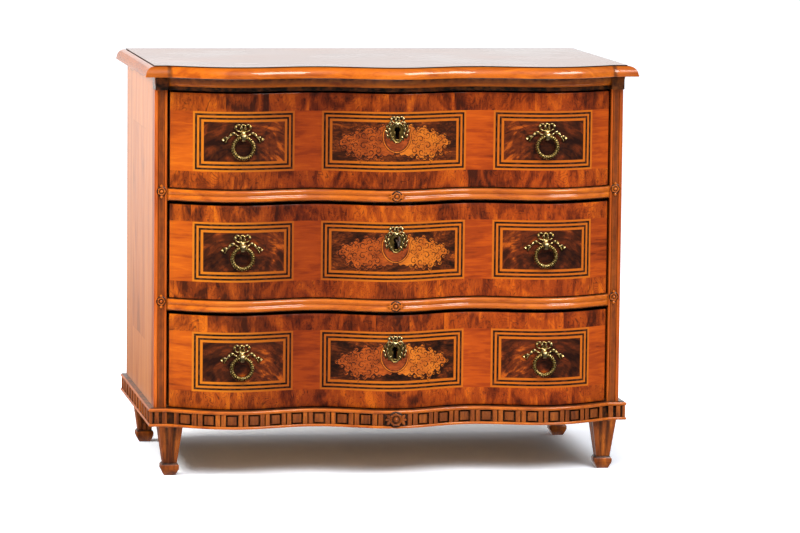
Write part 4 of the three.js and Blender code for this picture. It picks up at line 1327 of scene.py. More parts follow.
@dataclass
class CornerPost(Builder):
    """Corner post: a hollow channel between two rounded reeds, with a rosette beside each rail.

    Args:
        chamfer: bevel of the outer corner.
        reed: width of each reed.
        sunk: depth of the quirk beside a reed.
        channel: depth of the hollow.
        quirk_depth: depth of the grooves on both sides of the channel.
        rosette, rise: radius and height of the rosettes.
        lift: how far the rosettes stand over the rails' middle.
    """

    chamfer: float = 0.0028
    reed: float = 0.0055
    sunk: float = 0.0009
    channel: float = 0.0015
    quirk_depth: float = 0.0036
    rosette: float = 0.0088
    rise: float = 0.0048
    lift: float = 0.006

    def flat(self) -> float:
        """Returns: width of a post's face without its chamfer."""
        return self.layout.case_half - self.layout.opening_half - self.chamfer

    def section(self) -> list[Point]:
        """Returns: (across, depth) points, from the drawer's side to the outer corner."""
        flat = self.flat()
        width = flat + self.chamfer
        depth = self.layout.post_back - self.layout.post_face
        middle = flat / 2
        half = self.reed / 2
        beside = self.sunk / 2
        hollow = (middle - self.reed - beside, -self.channel)
        return [
            (0.0, depth), (0.0, half), *arc((half, half), (half, half), 180, 360, 8)[1:],
            (self.reed + beside, self.quirk_depth), *arc((middle, self.sunk), hollow, 180, 360, 10)[1:-1],
            (flat - self.reed - beside, self.quirk_depth), (flat - self.reed, half),
            *arc((flat - half, half), (half, half), 180, 360, 8)[1:], (flat, half * 0.6),
            (width - 0.0004, self.chamfer - 0.0002), (width, self.chamfer + 0.0004), (width, depth),
        ]

    def gathered(self, point: Vector) -> float:
        """Args: point: on a post. Returns: how much painted shade it gets there: full on its inner side in the
        drawer's gap, and in the channel by its depth.
        """
        across = abs(point.x) - self.layout.opening_half
        depth = point.y - self.layout.post_face
        if across < 0.0002 and depth > 0.003:
            return 1.0
        between_reeds = self.reed * 0.9 < across < self.flat() - self.reed * 0.9
        return 0.52 + 0.45 * (depth - 0.0020) / 0.0012 if between_reeds else 0.0

    def build(self) -> None:
        """Makes both posts and their rosettes."""
        at = self.layout
        section = self.section()
        for side in Side:
            bm = skinned([
                [Vector((side.sign * (at.opening_half + x), at.post_face + y, z)) for x, y in section]
                for z in (at.plinth_top, at.cornice_low)
            ])
            name = f"corner_post_{side.word}"
            self.shop.deliver(name, bm, Slot.POLISHED, "case", f"post_{side.word}", 30, hollow=self.gathered)
            for level in (1, 2):
                self.flower(side, level)

    def flower(self, side: Side, level: int) -> None:
        """Args: side: of the post; level: of the rail. Makes the rosette beside the rail and two leaves."""
        at = self.layout
        low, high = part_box(f"rail_{level}")
        x = side.sign * (at.opening_half + self.flat() / 2)
        place = Vector((x, at.post_face + 0.0003, (low.z + high.z) / 2 + self.lift))
        bm = Rosette(self.rosette, self.rise, petals=5).mesh(place)
        for tip in (-1, 1):
            blade = turned(leaf(0.0078, 0.0066, 0.0026), -tip * math.pi / 2)
            merged(bm, moved(blade, place + Vector((0, -0.0008, tip * 0.0075))))
        # Painted shade at the rosette's foot, fading to none on its heart.
        self.shop.deliver(
            f"post_rosette_{side.word}_{level}", bm, Slot.MOULDING,
            hollow=lambda point: 1.4 - (place.y - point.y) / (0.42 * self.rise),
        )


@dataclass(frozen=True)
class Rosette:
    """A carved flower that looks along -Y.

    Args:
        radius: of the petals' tips.
        rise: height of the heart over the ground.
        petals: how many.
        bed, heart: radii of the disc under the petals and of the heart, as shares of the radius.
    """

    radius: float
    rise: float
    petals: int = 6
    bed: float = 1.24
    heart: float = 0.40

    def mesh(self, place: Vector, turn: float = 0.0) -> Mesh:
        """Args: place: middle of its ground; turn: about its axis. Returns: the flower."""
        collar = [
            Vector((math.cos(spin), -0.30 * self.rise / self.radius, math.sin(spin))) * self.radius * 0.76
            for spin in circle(36)
        ]
        bm = merged(
            bmesh.new(),
            sized(ball(self.radius * self.bed, 24, 8), 1, 0.20 * self.rise / self.radius, 1),
            tube(collar, lambda share: (self.radius * 0.15, self.rise * 0.28), 10),
        )
        width = 2.3 * self.radius / self.petals * 1.15
        for index in range(self.petals):
            petal = leaf(self.radius * 0.44, width, self.rise * 0.70, 0.35)
            moved(petal, (self.radius * 0.60, 0, 0))
            merged(bm, turned(petal, turn + 2 * math.pi * index / self.petals))
        heart = self.radius * self.heart
        merged(bm, sized(ball(heart, 16, 10), 1, self.rise / heart, 1))
        return moved(bm, place)


def sprayed(flower: Mesh, root: Vector, blades: Sequence[Point], width: float, rise: float) -> Mesh:
    """Adds leaves on both sides of a flower.

    Args:
        flower: mesh that takes them.
        root: where the right leaves start.
        blades: (turn, length) of each leaf.
        width, rise: size of the leaves.

    Returns:
        The flower.
    """
    for side in Side:
        for lift, length in blades:
            blade = turned(leaf(length, width, rise), side.outward + side.sign * lift)
            merged(flower, moved(blade, (side.sign * root.x, root.y, root.z)))
    return flower


@dataclass
class DrawerRail(Builder):
    """Serpentine rail with two beads, and a carved rosette with leaves in its middle.

    Args:
        level: 1 for the lower rail.
        fillet: height of the square edges.
        groove: gap between the beads.
        proud: how far the fillets stand before the posts.
        swell: reach of the beads.
        waist: reach between the beads, as a share of the swell.
        rosette, rise: radius and height of the rosette.
        steps: stations across the front.
    """

    level: int = 1
    fillet: float = 0.0015
    groove: float = 0.0022
    proud: float = 0.001
    swell: float = 0.0054
    waist: float = 0.34
    rosette: float = 0.0098
    rise: float = 0.0044
    steps: int = 220

    def build(self) -> None:
        """Makes the rail and its carving."""
        at = self.layout
        low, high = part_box(f"rail_{self.level}")
        bead = (high.z - low.z - 2 * self.fillet - self.groove) / 4
        first = low.z + self.fillet + bead
        second = high.z - self.fillet - bead
        radii = (self.swell, bead)
        section = [
            (None, low.z), (0.0, low.z), (0.0, low.z + self.fillet), *arc((0.0, first), radii, -90, 62, 12),
            (self.swell * self.waist, first + bead + self.groove / 2),
            *arc((0.0, second), radii, -62, 90, 12), (0.0, high.z - self.fillet), (0.0, high.z),
            (None, high.z),
        ]
        face = at.post_face + self.proud
        rail = skinned([
            [
                Vector((x, at.post_back, up)) if out is None
                else self.on_front(x, out * self.end_round(x), up, face)
                for out, up in section
            ]
            for x in spread(at.opening_half, self.steps)
        ])
        # Painted shade that grows the further a point lies behind the beads: a little in the groove, strong on
        # the fillets and the rail's back.
        self.shop.deliver(
            f"rail_moulding_{self.level}", carved(rail, self.bolt_pocket(self.level, low.z)),
            Slot.MOULDING, node=f"rail_{self.level}",
            hollow=lambda point: 0.9 + self.behind(point, face) / (0.5 * self.swell),
        )
        middle = self.on_front(0.0, self.swell * 0.92, (low.z + high.z) / 2, face)
        flower = Rosette(self.rosette, self.rise, petals=6).mesh(middle, 0.3)
        root = middle + Vector((self.rosette * 0.8, -0.0006, 0))
        sprayed(flower, root, ((-0.62, 0.0085), (0.0, 0.012), (0.62, 0.0085)), 0.0042, 0.0026)
        # Painted shade at the rosette's foot, fading to none on its heart.
        self.shop.deliver(
            f"rail_rosette_{self.level}", flower, Slot.MOULDING,
            hollow=lambda point: 1.45 - (middle.y - point.y) / 0.0017,
        )

    def end_round(self, x: float, reach: float = 0.006, least: float = 0.25) -> float:
        """Args: x: place; reach: of the round; least: share at its end. Returns: share of the swell."""
        left = (self.layout.opening_half - abs(x)) / reach
        return lerp(least, 1.0, math.sqrt(max(0.0, 1 - (1 - min(left, 1.0)) ** 2)))


@dataclass
class FretPlinth(Builder):
    """Plinth moulding whose face holds framed squares between pairs of bars.

    Args:
        band, end: wood of the moulding, and of its ends at the back.
        upper, lower: heights of the two rounded bands.
        sunk: depth of the face behind the bands.
        pitch: from one square to the next on the front.
        first: place of the first square from the middle.
        count, side_count: squares on each half of the front, and on a side.
        pit_width, pit_depth: size of a pit.
        tile, tile_sunk: width of the square in a pit, and its depth behind the face.
        groove: gap between two bars.
        last_bar: width of the bar beside the last square.
        corner_bars: starts and ends of the bars over a leg.
        return_start: start of the block at the corner.
        edge: edge radius of bars and squares.
        heart_half: half width of the middle block.
        thickness: front to back size of the moulding.
        steps: stations across the front.
    """

    band: Material | None = None
    end: Material | None = None
    upper: float = 0.0082
    lower: float = 0.006
    sunk: float = 0.002
    pitch: float = 0.0476
    first: float = 0.062
    count: int = 9
    side_count: int = 11
    pit_width: float = 0.0265
    pit_depth: float = 0.007
    tile: float = 0.0185
    tile_sunk: float = 0.0016
    groove: float = 0.0026
    last_bar: float = 0.0085
    corner_bars: tuple[Point, ...] = ((0.4795, 0.4895), (0.4965, 0.5055))
    return_start: float = 0.5105
    edge: float = 0.0006
    heart_half: float = 0.0245
    thickness: float = 0.038
    steps: int = 220

    def build(self) -> None:
        """Makes the three faces of the plinth and the flower in the middle."""
        self.front()
        self.flower()
        for side in Side:
            self.side_run(side)

    def section(self) -> list[Point]:
        """Returns: (outward, up) points of the moulding, with its face sunk to the pits' floor."""
        low, high = self.layout.plinth_low, self.layout.plinth_top
        floor = -self.sunk - self.pit_depth
        foot, cap = self.lower / 2, self.upper / 2
        return [
            (-self.thickness, low), *arc((-foot, low + foot), (foot, foot), -90, 90, 10),
            (floor, low + self.lower), (floor, high - self.upper),
            *arc((-cap, high - cap), (cap, cap), -90, 90, 12), (-self.thickness, high),
        ]

    def tile_span(self, x: float) -> tuple[float, float, float]:
        """Args: x: middle of a pit. Returns: start, end and depth of its square."""
        return (x - self.tile / 2, x + self.tile / 2, self.sunk + self.tile_sunk)

    def bar_spans(self, start: float, end: float) -> list[tuple[float, float, float]]:
        """Args: start, end: the space between two pits. Returns: start, end and depth of its two bars."""
        middle = (start + end) / 2
        return [(start, middle - self.groove / 2, self.sunk), (middle + self.groove / 2, end, self.sunk)]

    def face(
        self, word: str, stations: Stations, spans: Sequence[tuple[float, float, float]], bend: Bend,
        depth: Measure,
    ) -> bpy.types.Object:
        """Makes the moulding of a face and the fret on it.

        Args:
            word: of the face, in the names.
            stations: points of the face's line with their outward ways.
            spans: start, end and depth of each bar and square.
            bend: puts them on the face.
            depth: how far a point lies behind the face.

        Returns:
            The moulding.
        """
        low = self.layout.plinth_low + self.lower
        high = self.layout.plinth_top - self.upper
        fret = bmesh.new()
        for start, end, sunk in spans:
            inset = (high - low - self.tile) / 2 if end - start > self.tile * 0.99 else 0.0
            far = (end, self.sunk + self.pit_depth + 0.001, high - inset)
            merged(fret, bent(rounded_box((start, sunk, low + inset), far, self.edge), bend))

        def gathered(point: Vector) -> float:
            """Args: point: on the moulding. Returns: how much painted shade it gets there, growing with depth
            behind the face, so that the pits go dark.
            """
            return (depth(point) - 0.6 * self.sunk) / 0.0022

        moulding = self.shop.deliver(
            f"plinth_moulding_{word}", swept(self.section(), stations), Slot.PLINTH, node=f"plinth_{word}",
            hollow=gathered, finish=self.band,
        )
        # The fret takes the same painted shade from a greater depth, so that the sunk squares darken.
        self.shop.deliver(
            f"plinth_fret_{word}", fret, Slot.PLINTH, hollow=lambda point: (gathered(point) - 0.75) / 1.3
        )
        return moulding

    def front(self) -> None:
        """Makes the serpentine front face with its mitres."""
        at = self.layout
        face = at.plinth_face
        half_pit = self.pit_width / 2
        last = self.first + (self.count - 1) * self.pitch + half_pit
        ends = (
            (last, last + self.last_bar), *self.corner_bars, (self.return_start, at.plinth_half - 0.0021)
        )
        spans = []
        for side in Side:
            for index in range(self.count):
                x = side.sign * (self.first + index * self.pitch)
                spans.append(self.tile_span(x))
                if index + 1 < self.count:
                    near, far = sorted((x, x + side.sign * self.pitch))
                    spans += self.bar_spans(near + half_pit, far - half_pit)
            heart = self.heart_half + 0.0017
            spans += self.bar_spans(*sorted((side.sign * (self.first - half_pit), side.sign * heart)))
            spans += [(*sorted((side.sign * near, side.sign * far)), self.sunk) for near, far in ends]
        self.face(
            "front", self.around_front(face, at.opening_half, at.plinth_half, self.steps), spans,
            lambda point: self.on_front(point.x, -point.y, point.z, face),
            lambda point: self.behind(point, face),
        )

    def side_run(self, side: Side) -> None:
        """Args: side: whose moulding and fret to make."""
        at = self.layout
        x = side.sign * at.plinth_half
        half_pit = self.pit_width / 2
        length = at.case_back - at.plinth_face
        pitch = length / self.side_count
        spans = []
        for index in range(self.side_count):
            middle = (index + 0.5) * pitch
            spans.append(self.tile_span(middle))
            if index + 1 < self.side_count:
                spans += self.bar_spans(middle + half_pit, middle + pitch - half_pit)
            else:
                spans.append((middle + half_pit, length - 0.0004, self.sunk))
        spans.append((0.0022, 0.5 * pitch - half_pit, self.sunk))
        moulding = self.face(
            side.word, self.along_side(side, at.plinth_half, at.plinth_face, at.case_back), spans,
            lambda point: Vector((x - side.sign * point.y, at.plinth_face + point.x, point.z)),
            lambda point: side.sign * (x - point.x),
        )
        face_by_face(moulding, lambda way: int(way.y > 0.9), self.end)

    def flower(self) -> None:
        """Makes the carved flower with its scroll leaves in the middle of the front."""
        at = self.layout
        place = self.on_front(0, -0.0006, (at.plinth_low + at.plinth_top) / 2, at.plinth_face)
        work = Rosette(0.0145, 0.0085, petals=7).mesh(place, 0.2)
        root = place + Vector((0.0115, -0.0006, 0))
        sprayed(work, root, ((0.95, 0.0140), (0.0, 0.0120), (-0.95, 0.0140)), 0.0080, 0.0056)
        backing = rounded_box(
            (-self.heart_half, 0.0, at.plinth_low + self.lower),
            (self.heart_half, self.pit_depth + 0.001, at.plinth_top - self.upper), self.edge,
        )
        moved(backing, (0, place.y + self.sunk + self.tile_sunk, 0))
        # The backing behind the flower is painted fully dark as the shade in its recess; the flower gets
        # painted shade at its foot.
        self.shop.deliver("plinth_flower_ground", backing, Slot.PLINTH, hollow=lambda point: 1.0)
        self.shop.deliver(
            "plinth_flower", work, Slot.PLINTH, hollow=lambda point: 1.3 - (place.y - point.y) / 0.0034
        )


@dataclass
class Leg(Builder):
    """Square tapered leg with two shallow flutes on each face and a block foot.

    Args:
        side, row: which leg.
        top, ankle: widths of the shaft under the plinth and at the foot.
        foot_top: height where the foot's collar starts.
        neck, neck_height: width and height of the collar.
        cap, cap_height, sole: the foot's greatest width, that part's height, and the width on the floor.
        flutes: places of the flutes' middles, as shares of the width.
        flute_share, flute_depth: width of a flute as a share of the leg's, and its depth.
        edge: width of the flat beside the corners.
        levels: rings along the shaft.
    """

    side: Side = Side.LEFT
    row: Row = Row.FRONT
    top: float = 0.052
    ankle: float = 0.029
    foot_top: float = 0.026
    neck: float = 0.033
    neck_height: float = 0.003
    cap: float = 0.038
    cap_height: float = 0.009
    sole: float = 0.024
    flutes: Point = (-0.17, 0.17)
    flute_share: float = 0.22
    flute_depth: float = 0.0026
    edge: float = 0.0012
    levels: int = 26

    def face_points(self, width: float, fluted: float) -> list[Vector]:
        """Args: width: of the square; fluted: share of the flutes' depth. Returns: its outline."""
        half = width / 2
        reach = self.flute_share / 2
        line = [(-half + self.edge, 0.0)]
        for middle in self.flutes:
            for share in (step / 8 for step in range(9)):
                depth = math.sin(math.pi * share) * self.flute_depth * fluted * width / self.top
                line.append((width * (middle - reach + 2 * reach * share), depth))
        line.append((half - self.edge, 0.0))
        turns = [Matrix.Rotation(face * math.pi / 2, 3, "Z") for face in range(4)]
        return [turn @ Vector((x, -half + depth, 0)) for turn in turns for x, depth in line]

    def build(self) -> None:
        """Makes the leg where its frame node stands."""
        name = f"leg_{self.row.value}_{self.side.word}"
        low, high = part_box(name)
        plinth = self.layout.plinth_low
        outer = high.x if self.side is Side.RIGHT else low.x
        y = low.y + self.top / 2 if self.row is Row.FRONT else high.y - self.top / 2
        middle = Vector((outer - self.side.sign * self.top / 2, y, low.z))
        rings = []
        for share in (step / self.levels for step in range(self.levels + 1)):
            rise = Vector((0, 0, lerp(self.foot_top - self.neck_height, plinth, share)))
            fade = min(share / 0.10, 1.0, (1 - share) / 0.05)
            carve = math.sqrt(max(0.0, 1 - (1 - fade) ** 2))
            outline = self.face_points(lerp(self.ankle, self.top, share), carve)
            rings.append([middle + point + rise for point in outline])

        def hollow(point: Vector) -> float:
            """Args: point: on the leg. Returns: how much painted shade it gets there: in the flutes by their
            depth, and on the neck above the foot, fading a few millimetres up the shaft.
            """
            place = point - middle
            if place.z < self.foot_top - self.neck_height:
                return 0.0
            over = place.z - self.foot_top
            width = lerp(self.ankle, self.top, over / (plinth - self.foot_top))
            inward = width / 2 - max(abs(place.x), abs(place.y))
            return max(inward / self.flute_depth * 0.9, (1.0 - over / 0.004) * 0.8)

        bm = merged(skinned(rings), self.foot(middle))
        self.shop.deliver(f"fluted_{name}", bm, Slot.PLINTH, "case", name, 24, hollow=hollow)

    def foot(self, middle: Vector) -> Mesh:
        """Args: middle: of the sole. Returns: the block foot."""
        under = self.foot_top - self.neck_height
        rows = (
            (self.ankle + 0.002, self.foot_top), (self.neck, self.foot_top),
            (self.neck, self.foot_top - 0.0012), (self.cap, under - 0.0012),
            (self.cap, under - self.cap_height), (self.sole, 0.0),
        )
        corners = ((-1, -1), (1, -1), (1, 1), (-1, 1))
        return softened(skinned([
            [middle + Vector((across * width / 2, along * width / 2, z)) for across, along in corners]
            for width, z in rows
        ]), 0.0006)


@dataclass
class DrawerFront(Builder):
    """Veneered serpentine drawer front with a real keyhole.

    Args:
        number: 1 for the lowest drawer.
        edge: near-black finish of its edges and the keyhole's walls, painted as the shade in the gaps around
            the front and inside the keyhole.
        thickness: front to back size.
        rounding: radius of the front's edges.
        eye: radius of the keyhole's eye.
        slot, drop: width of the slot below it, and its length under the eye's middle.
        headroom: gap over each drawer.
        side_gap: gap beside it.
        steps: stations across the front.
    """

    number: int = 1
    edge: Material | None = None
    thickness: float = 0.024
    rounding: float = 0.0020
    eye: float = 0.0062
    slot: float = 0.0080
    drop: float = 0.0190
    headroom: tuple[float, ...] = (0.0042, 0.0042, 0.0012)
    side_gap: float = 0.0022
    steps: int = 240

    def build(self) -> None:
        """Makes the front with its keyhole cut through."""
        low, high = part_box(f"drawer_{self.number}_front")
        top = high.z - self.headroom[self.number - 1]
        half = high.x - self.side_gap
        face = self.layout.drawer_face
        r = self.rounding
        ends = [(half, r), (half - 0.3 * r, 0.3 * r), (half - r, 0.0)]
        stations = [(-x, back) for x, back in ends] + [(-half + 2 * r, 0.0)]
        stations += [(x, 0.0) for x in spread(half - 2 * r, self.steps)] + ends[::-1]
        rings = []
        for x, back in stations:
            outline = (
                (self.thickness, low.z), (r + back, low.z), (0.3 * r + back, low.z + 0.3 * r),
                (back, low.z + r), (back, low.z + 3 * r), (back, top - 3 * r), (back, top - r),
                (0.3 * r + back, top - 0.3 * r), (r + back, top), (self.thickness, top),
            )
            rings.append([self.on_front(x, -depth, z, face) for depth, z in outline])
        front = carved(skinned(rings), self.keyhole_cutter(low.z))
        body = f"drawer_{self.number}"
        piece = self.shop.deliver(f"{body}_veneered_front", front, Slot.VENEER, body, f"{body}_front")

        def choose(way: Vector) -> int:
            """Args: way: of a face. Returns: softwood behind, and the near-black finish painted as shade on
            the edges and in the keyhole.
            """
            return 1 if way.y > 0.5 else 2 if way.y > -0.3 else 0

        face_by_face(piece, choose, self.shop.finishes[Slot.SOFTWOOD], self.edge)

    def keyhole_cutter(self, low: float) -> Mesh:
        """Args: low: z of the front's lower edge. Returns: a solid of the keyhole's shape, through it."""
        height = low + self.layout.keyhole
        half = self.slot / 2
        rim = [
            (half, -self.drop), (half, -self.eye * 0.6),
            *arc((0.0, 0.0), (self.eye, self.eye), -40, 220, 20), (-half, -self.eye * 0.6),
            (-half, -self.drop),
        ]
        y = self.layout.post_face - self.layout.curve.centre
        return skinned([
            [Vector((x, y + depth, height + z)) for x, z in rim] for depth in (-0.01, self.thickness + 0.01)
        ])


@dataclass
class Cartouche(Builder):
    """Marquetry around a keyhole: an oval medallion between two engraved scroll wings.

    WING is a wing's outline, VOLUTES its curls as (x, z, radius) and SCROLLS its engraved spirals as
    (x, z, radius, start, sweep), in millimetres and degrees.

    Args:
        number: the drawer's number.
        inlays: finishes by name: red, amber, oval, line.
        height, oval_height: middle of the wings and of the oval above the front's lower edge.
        half_width, half_height: of the oval.
        proud: how far the inlay stands over the veneer.
        sunk: how far it reaches into it.
        line: width of the engraved lines.
    """

    number: int = 1
    inlays: dict[str, Material] = field(default_factory=dict)
    height: float = 0.104
    oval_height: float = 0.112
    half_width: float = 0.0305
    half_height: float = 0.0345
    proud: float = 0.00012
    sunk: float = 0.0004
    line: float = 0.0015

    WING = (
        (24, 34), (30, 31), (37, 27), (43, 22), (48, 23), (54, 27), (61, 26), (68, 23), (72, 17), (77, 16),
        (82, 20), (87, 18), (89, 11), (94, 8), (99, 11), (106, 10), (111, 6), (112, 1), (117, -2),
        (118, -9), (113, -14), (107, -12), (103, -16), (104, -23), (100, -30), (95, -28), (92, -24),
        (89, -28), (86, -35), (79, -41), (73, -38), (71, -32), (66, -34), (60, -39), (52, -39), (47, -34),
        (43, -29), (38, -34), (31, -32), (24, -34), (17, -30), (9, -32), (5, -25), (14, -18), (22, -8),
        (25, 10),
    )
    VOLUTES = (
        (31, 32, 3.8), (47, 25, 4.2), (62, 28, 4.2), (80, 21, 4.2), (91, 13, 3.4), (108, 9, 4.2),
        (118, -7, 4.4), (109, -16, 3.6), (100, -30, 4.4), (88, -32, 3.6), (77, -41, 4.2), (62, -38, 4.4),
        (46, -36, 3.8), (33, -33, 3.6),
    )
    SCROLLS = (
        (40, 18, 7.0, 200, 420), (40, -22, 8.0, 160, -440), (54, 17, 6.5, 20, -400), (52, 2, 8.0, 100, 430),
        (55, -26, 8.0, 250, 430), (68, 10, 7.5, 300, -420), (68, -12, 8.5, 60, 440),
        (79, -31, 6.5, 120, -400), (82, 7, 6.0, 220, 400), (84, -11, 7.0, 330, -420),
        (98, 0, 6.5, 90, 420), (95, -18, 6.0, 10, 400), (109, -4, 5.0, 180, -380),
        (37, -2, 5.5, 270, 380), (63, -34, 3.5, 0, 330), (73, 21, 3.0, 90, -330),
        (92, -8, 3.0, 45, 320), (47, -12, 4.0, 200, -340),
    )

    def face_point(self, point: Vector) -> Vector:
        """Args: point: x and z on the front, y the height off it. Returns: its place on the wave."""
        return self.on_front(point.x, point.y, point.z, self.layout.drawer_face)

    def sheet(self, outline: Sequence[Vector], proud: float) -> Mesh:
        """Args: outline: closed line; proud: over the veneer. Returns: a thin sheet bent to the front."""
        bm = extruded([(point.x, proud, point.z) for point in outline], (0, -proud - self.sunk, 0))
        low = min(point.x for point in outline)
        high = max(point.x for point in outline)
        count = int((high - low) / 0.004)
        for step in range(1, count):
            cut = Vector((lerp(low, high, step / count), 0, 0))
            geometry = [*bm.verts, *bm.edges, *bm.faces]
            bmesh.ops.bisect_plane(bm, geom=geometry, plane_co=cut, plane_no=(1, 0, 0))
        return bent(bm, self.face_point)

    def stroke(self, path: Sequence[Vector], width: float) -> Mesh:
        """Args: path: on the front; width: of the line. Returns: a fine line bent to the front."""
        closed = (path[0] - path[-1]).length < WELD
        half_depth = 0.00012

        def across(share: float) -> Point:
            """Args: share: of the path. Returns: half sizes of the line, thinner at its open ends."""
            taper = 1.0 if closed else lerp(0.45, 1.0, math.sin(math.pi * min(max(share, 0.02), 0.98)))
            return width / 2 * taper, half_depth

        proud = 2 * self.proud + half_depth / 2
        return bent(
            tube(path, across, 6), lambda point: self.face_point(Vector((point.x, proud - point.y, point.z)))
        )

    def oval_line(self, middle: float, grow: float = 0.0) -> list[Vector]:
        """Args: middle: height of the oval's middle; grow: added to its size. Returns: its closed line."""
        across, up = self.half_width + grow, self.half_height + grow
        return [Vector((across * math.cos(turn), 0, middle + up * math.sin(turn))) for turn in circle(72)]

    def build(self) -> None:
        """Makes the oval, the wings and their engraved lines."""
        low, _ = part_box(f"drawer_{self.number}_front")
        strokes = bmesh.new()
        for side in Side:
            self.wing(side, low.z + self.height, strokes)
        middle = low.z + self.oval_height
        cutter = DrawerFront(self.layout, self.shop, self.number).keyhole_cutter(low.z)
        oval = self.sheet(self.oval_line(middle)[:-1], 2 * self.proud)
        self.inlay("medallion", carved(oval, cutter), "oval")
        for grow, width in ((0.0006, 0.0011), (-0.0030, 0.0010)):
            merged(strokes, self.stroke(self.oval_line(middle, grow), width))
        self.inlay("medallion_string", self.stroke(self.oval_line(middle, -0.0012), 0.0022), "amber")
        self.inlay("engraving", strokes, "line")

    def inlay(self, name: str, bm: Mesh, wood: str, ending: str = "") -> None:
        """Args: name; bm: mesh; wood: name of its finish; ending: of the name. Delivers an inlaid piece."""
        body = f"drawer_{self.number}"
        self.shop.deliver(f"{name}_{self.number}{ending}", bm, Slot.VENEER, body, finish=self.inlays[wood])

    def wing(self, side: Side, middle: float, strokes: Mesh) -> None:
        """Args: side; middle: height of its middle; strokes: takes its lines. Makes one wing."""

        def spot(x: float, z: float, reach: float = 0.0, turn: float = 0.0) -> Vector:
            """Args: x, z: place; reach, turn: a way from it. Returns: the point on the front."""
            across, up = x + reach * math.cos(turn), z + reach * math.sin(turn)
            return Vector((side.sign * across * MILLIMETRE, 0, middle + up * MILLIMETRE))

        guides = [spot(x, z) for x, z in self.WING]
        rim = smooth_path([*guides, guides[0]], 200)[:-1]
        wing = self.sheet(rim, self.proud)
        for x, z, radius in self.VOLUTES:
            curl = [spot(x, z, radius, turn) for turn in circle(20)[:-1]]
            merged(wing, self.sheet(curl, 1.4 * self.proud))
        # The left wing takes the darker red wood and the right the lighter amber: partly the woods' own tones
        # and partly painted light, as the two wings' grain catches the light differently.
        self.inlay("cartouche", wing, "red" if side is Side.LEFT else "amber", f"_{side.word}")
        merged(strokes, self.stroke(rim, self.line))
        rings = [(*volute, 40, 470) for volute in self.VOLUTES]
        for x, z, radius, start, sweep in (*self.SCROLLS, *rings):
            merged(strokes, self.stroke([
                spot(x, z, radius * share, math.radians(start + sweep * share))
                for share in (lerp(0.16, 1.0, step / 30) for step in range(31))
            ], self.line))
            for index in range(3):
                turn = math.radians(start + sweep * (1.05 + 0.16 * index))
                near = spot(x, z, radius + 1.2, turn)
                far = near + spot(0, 0, 3.2, turn + 0.7) - spot(0, 0)
                merged(strokes, self.stroke([near, (near + far) / 2, far], self.line))


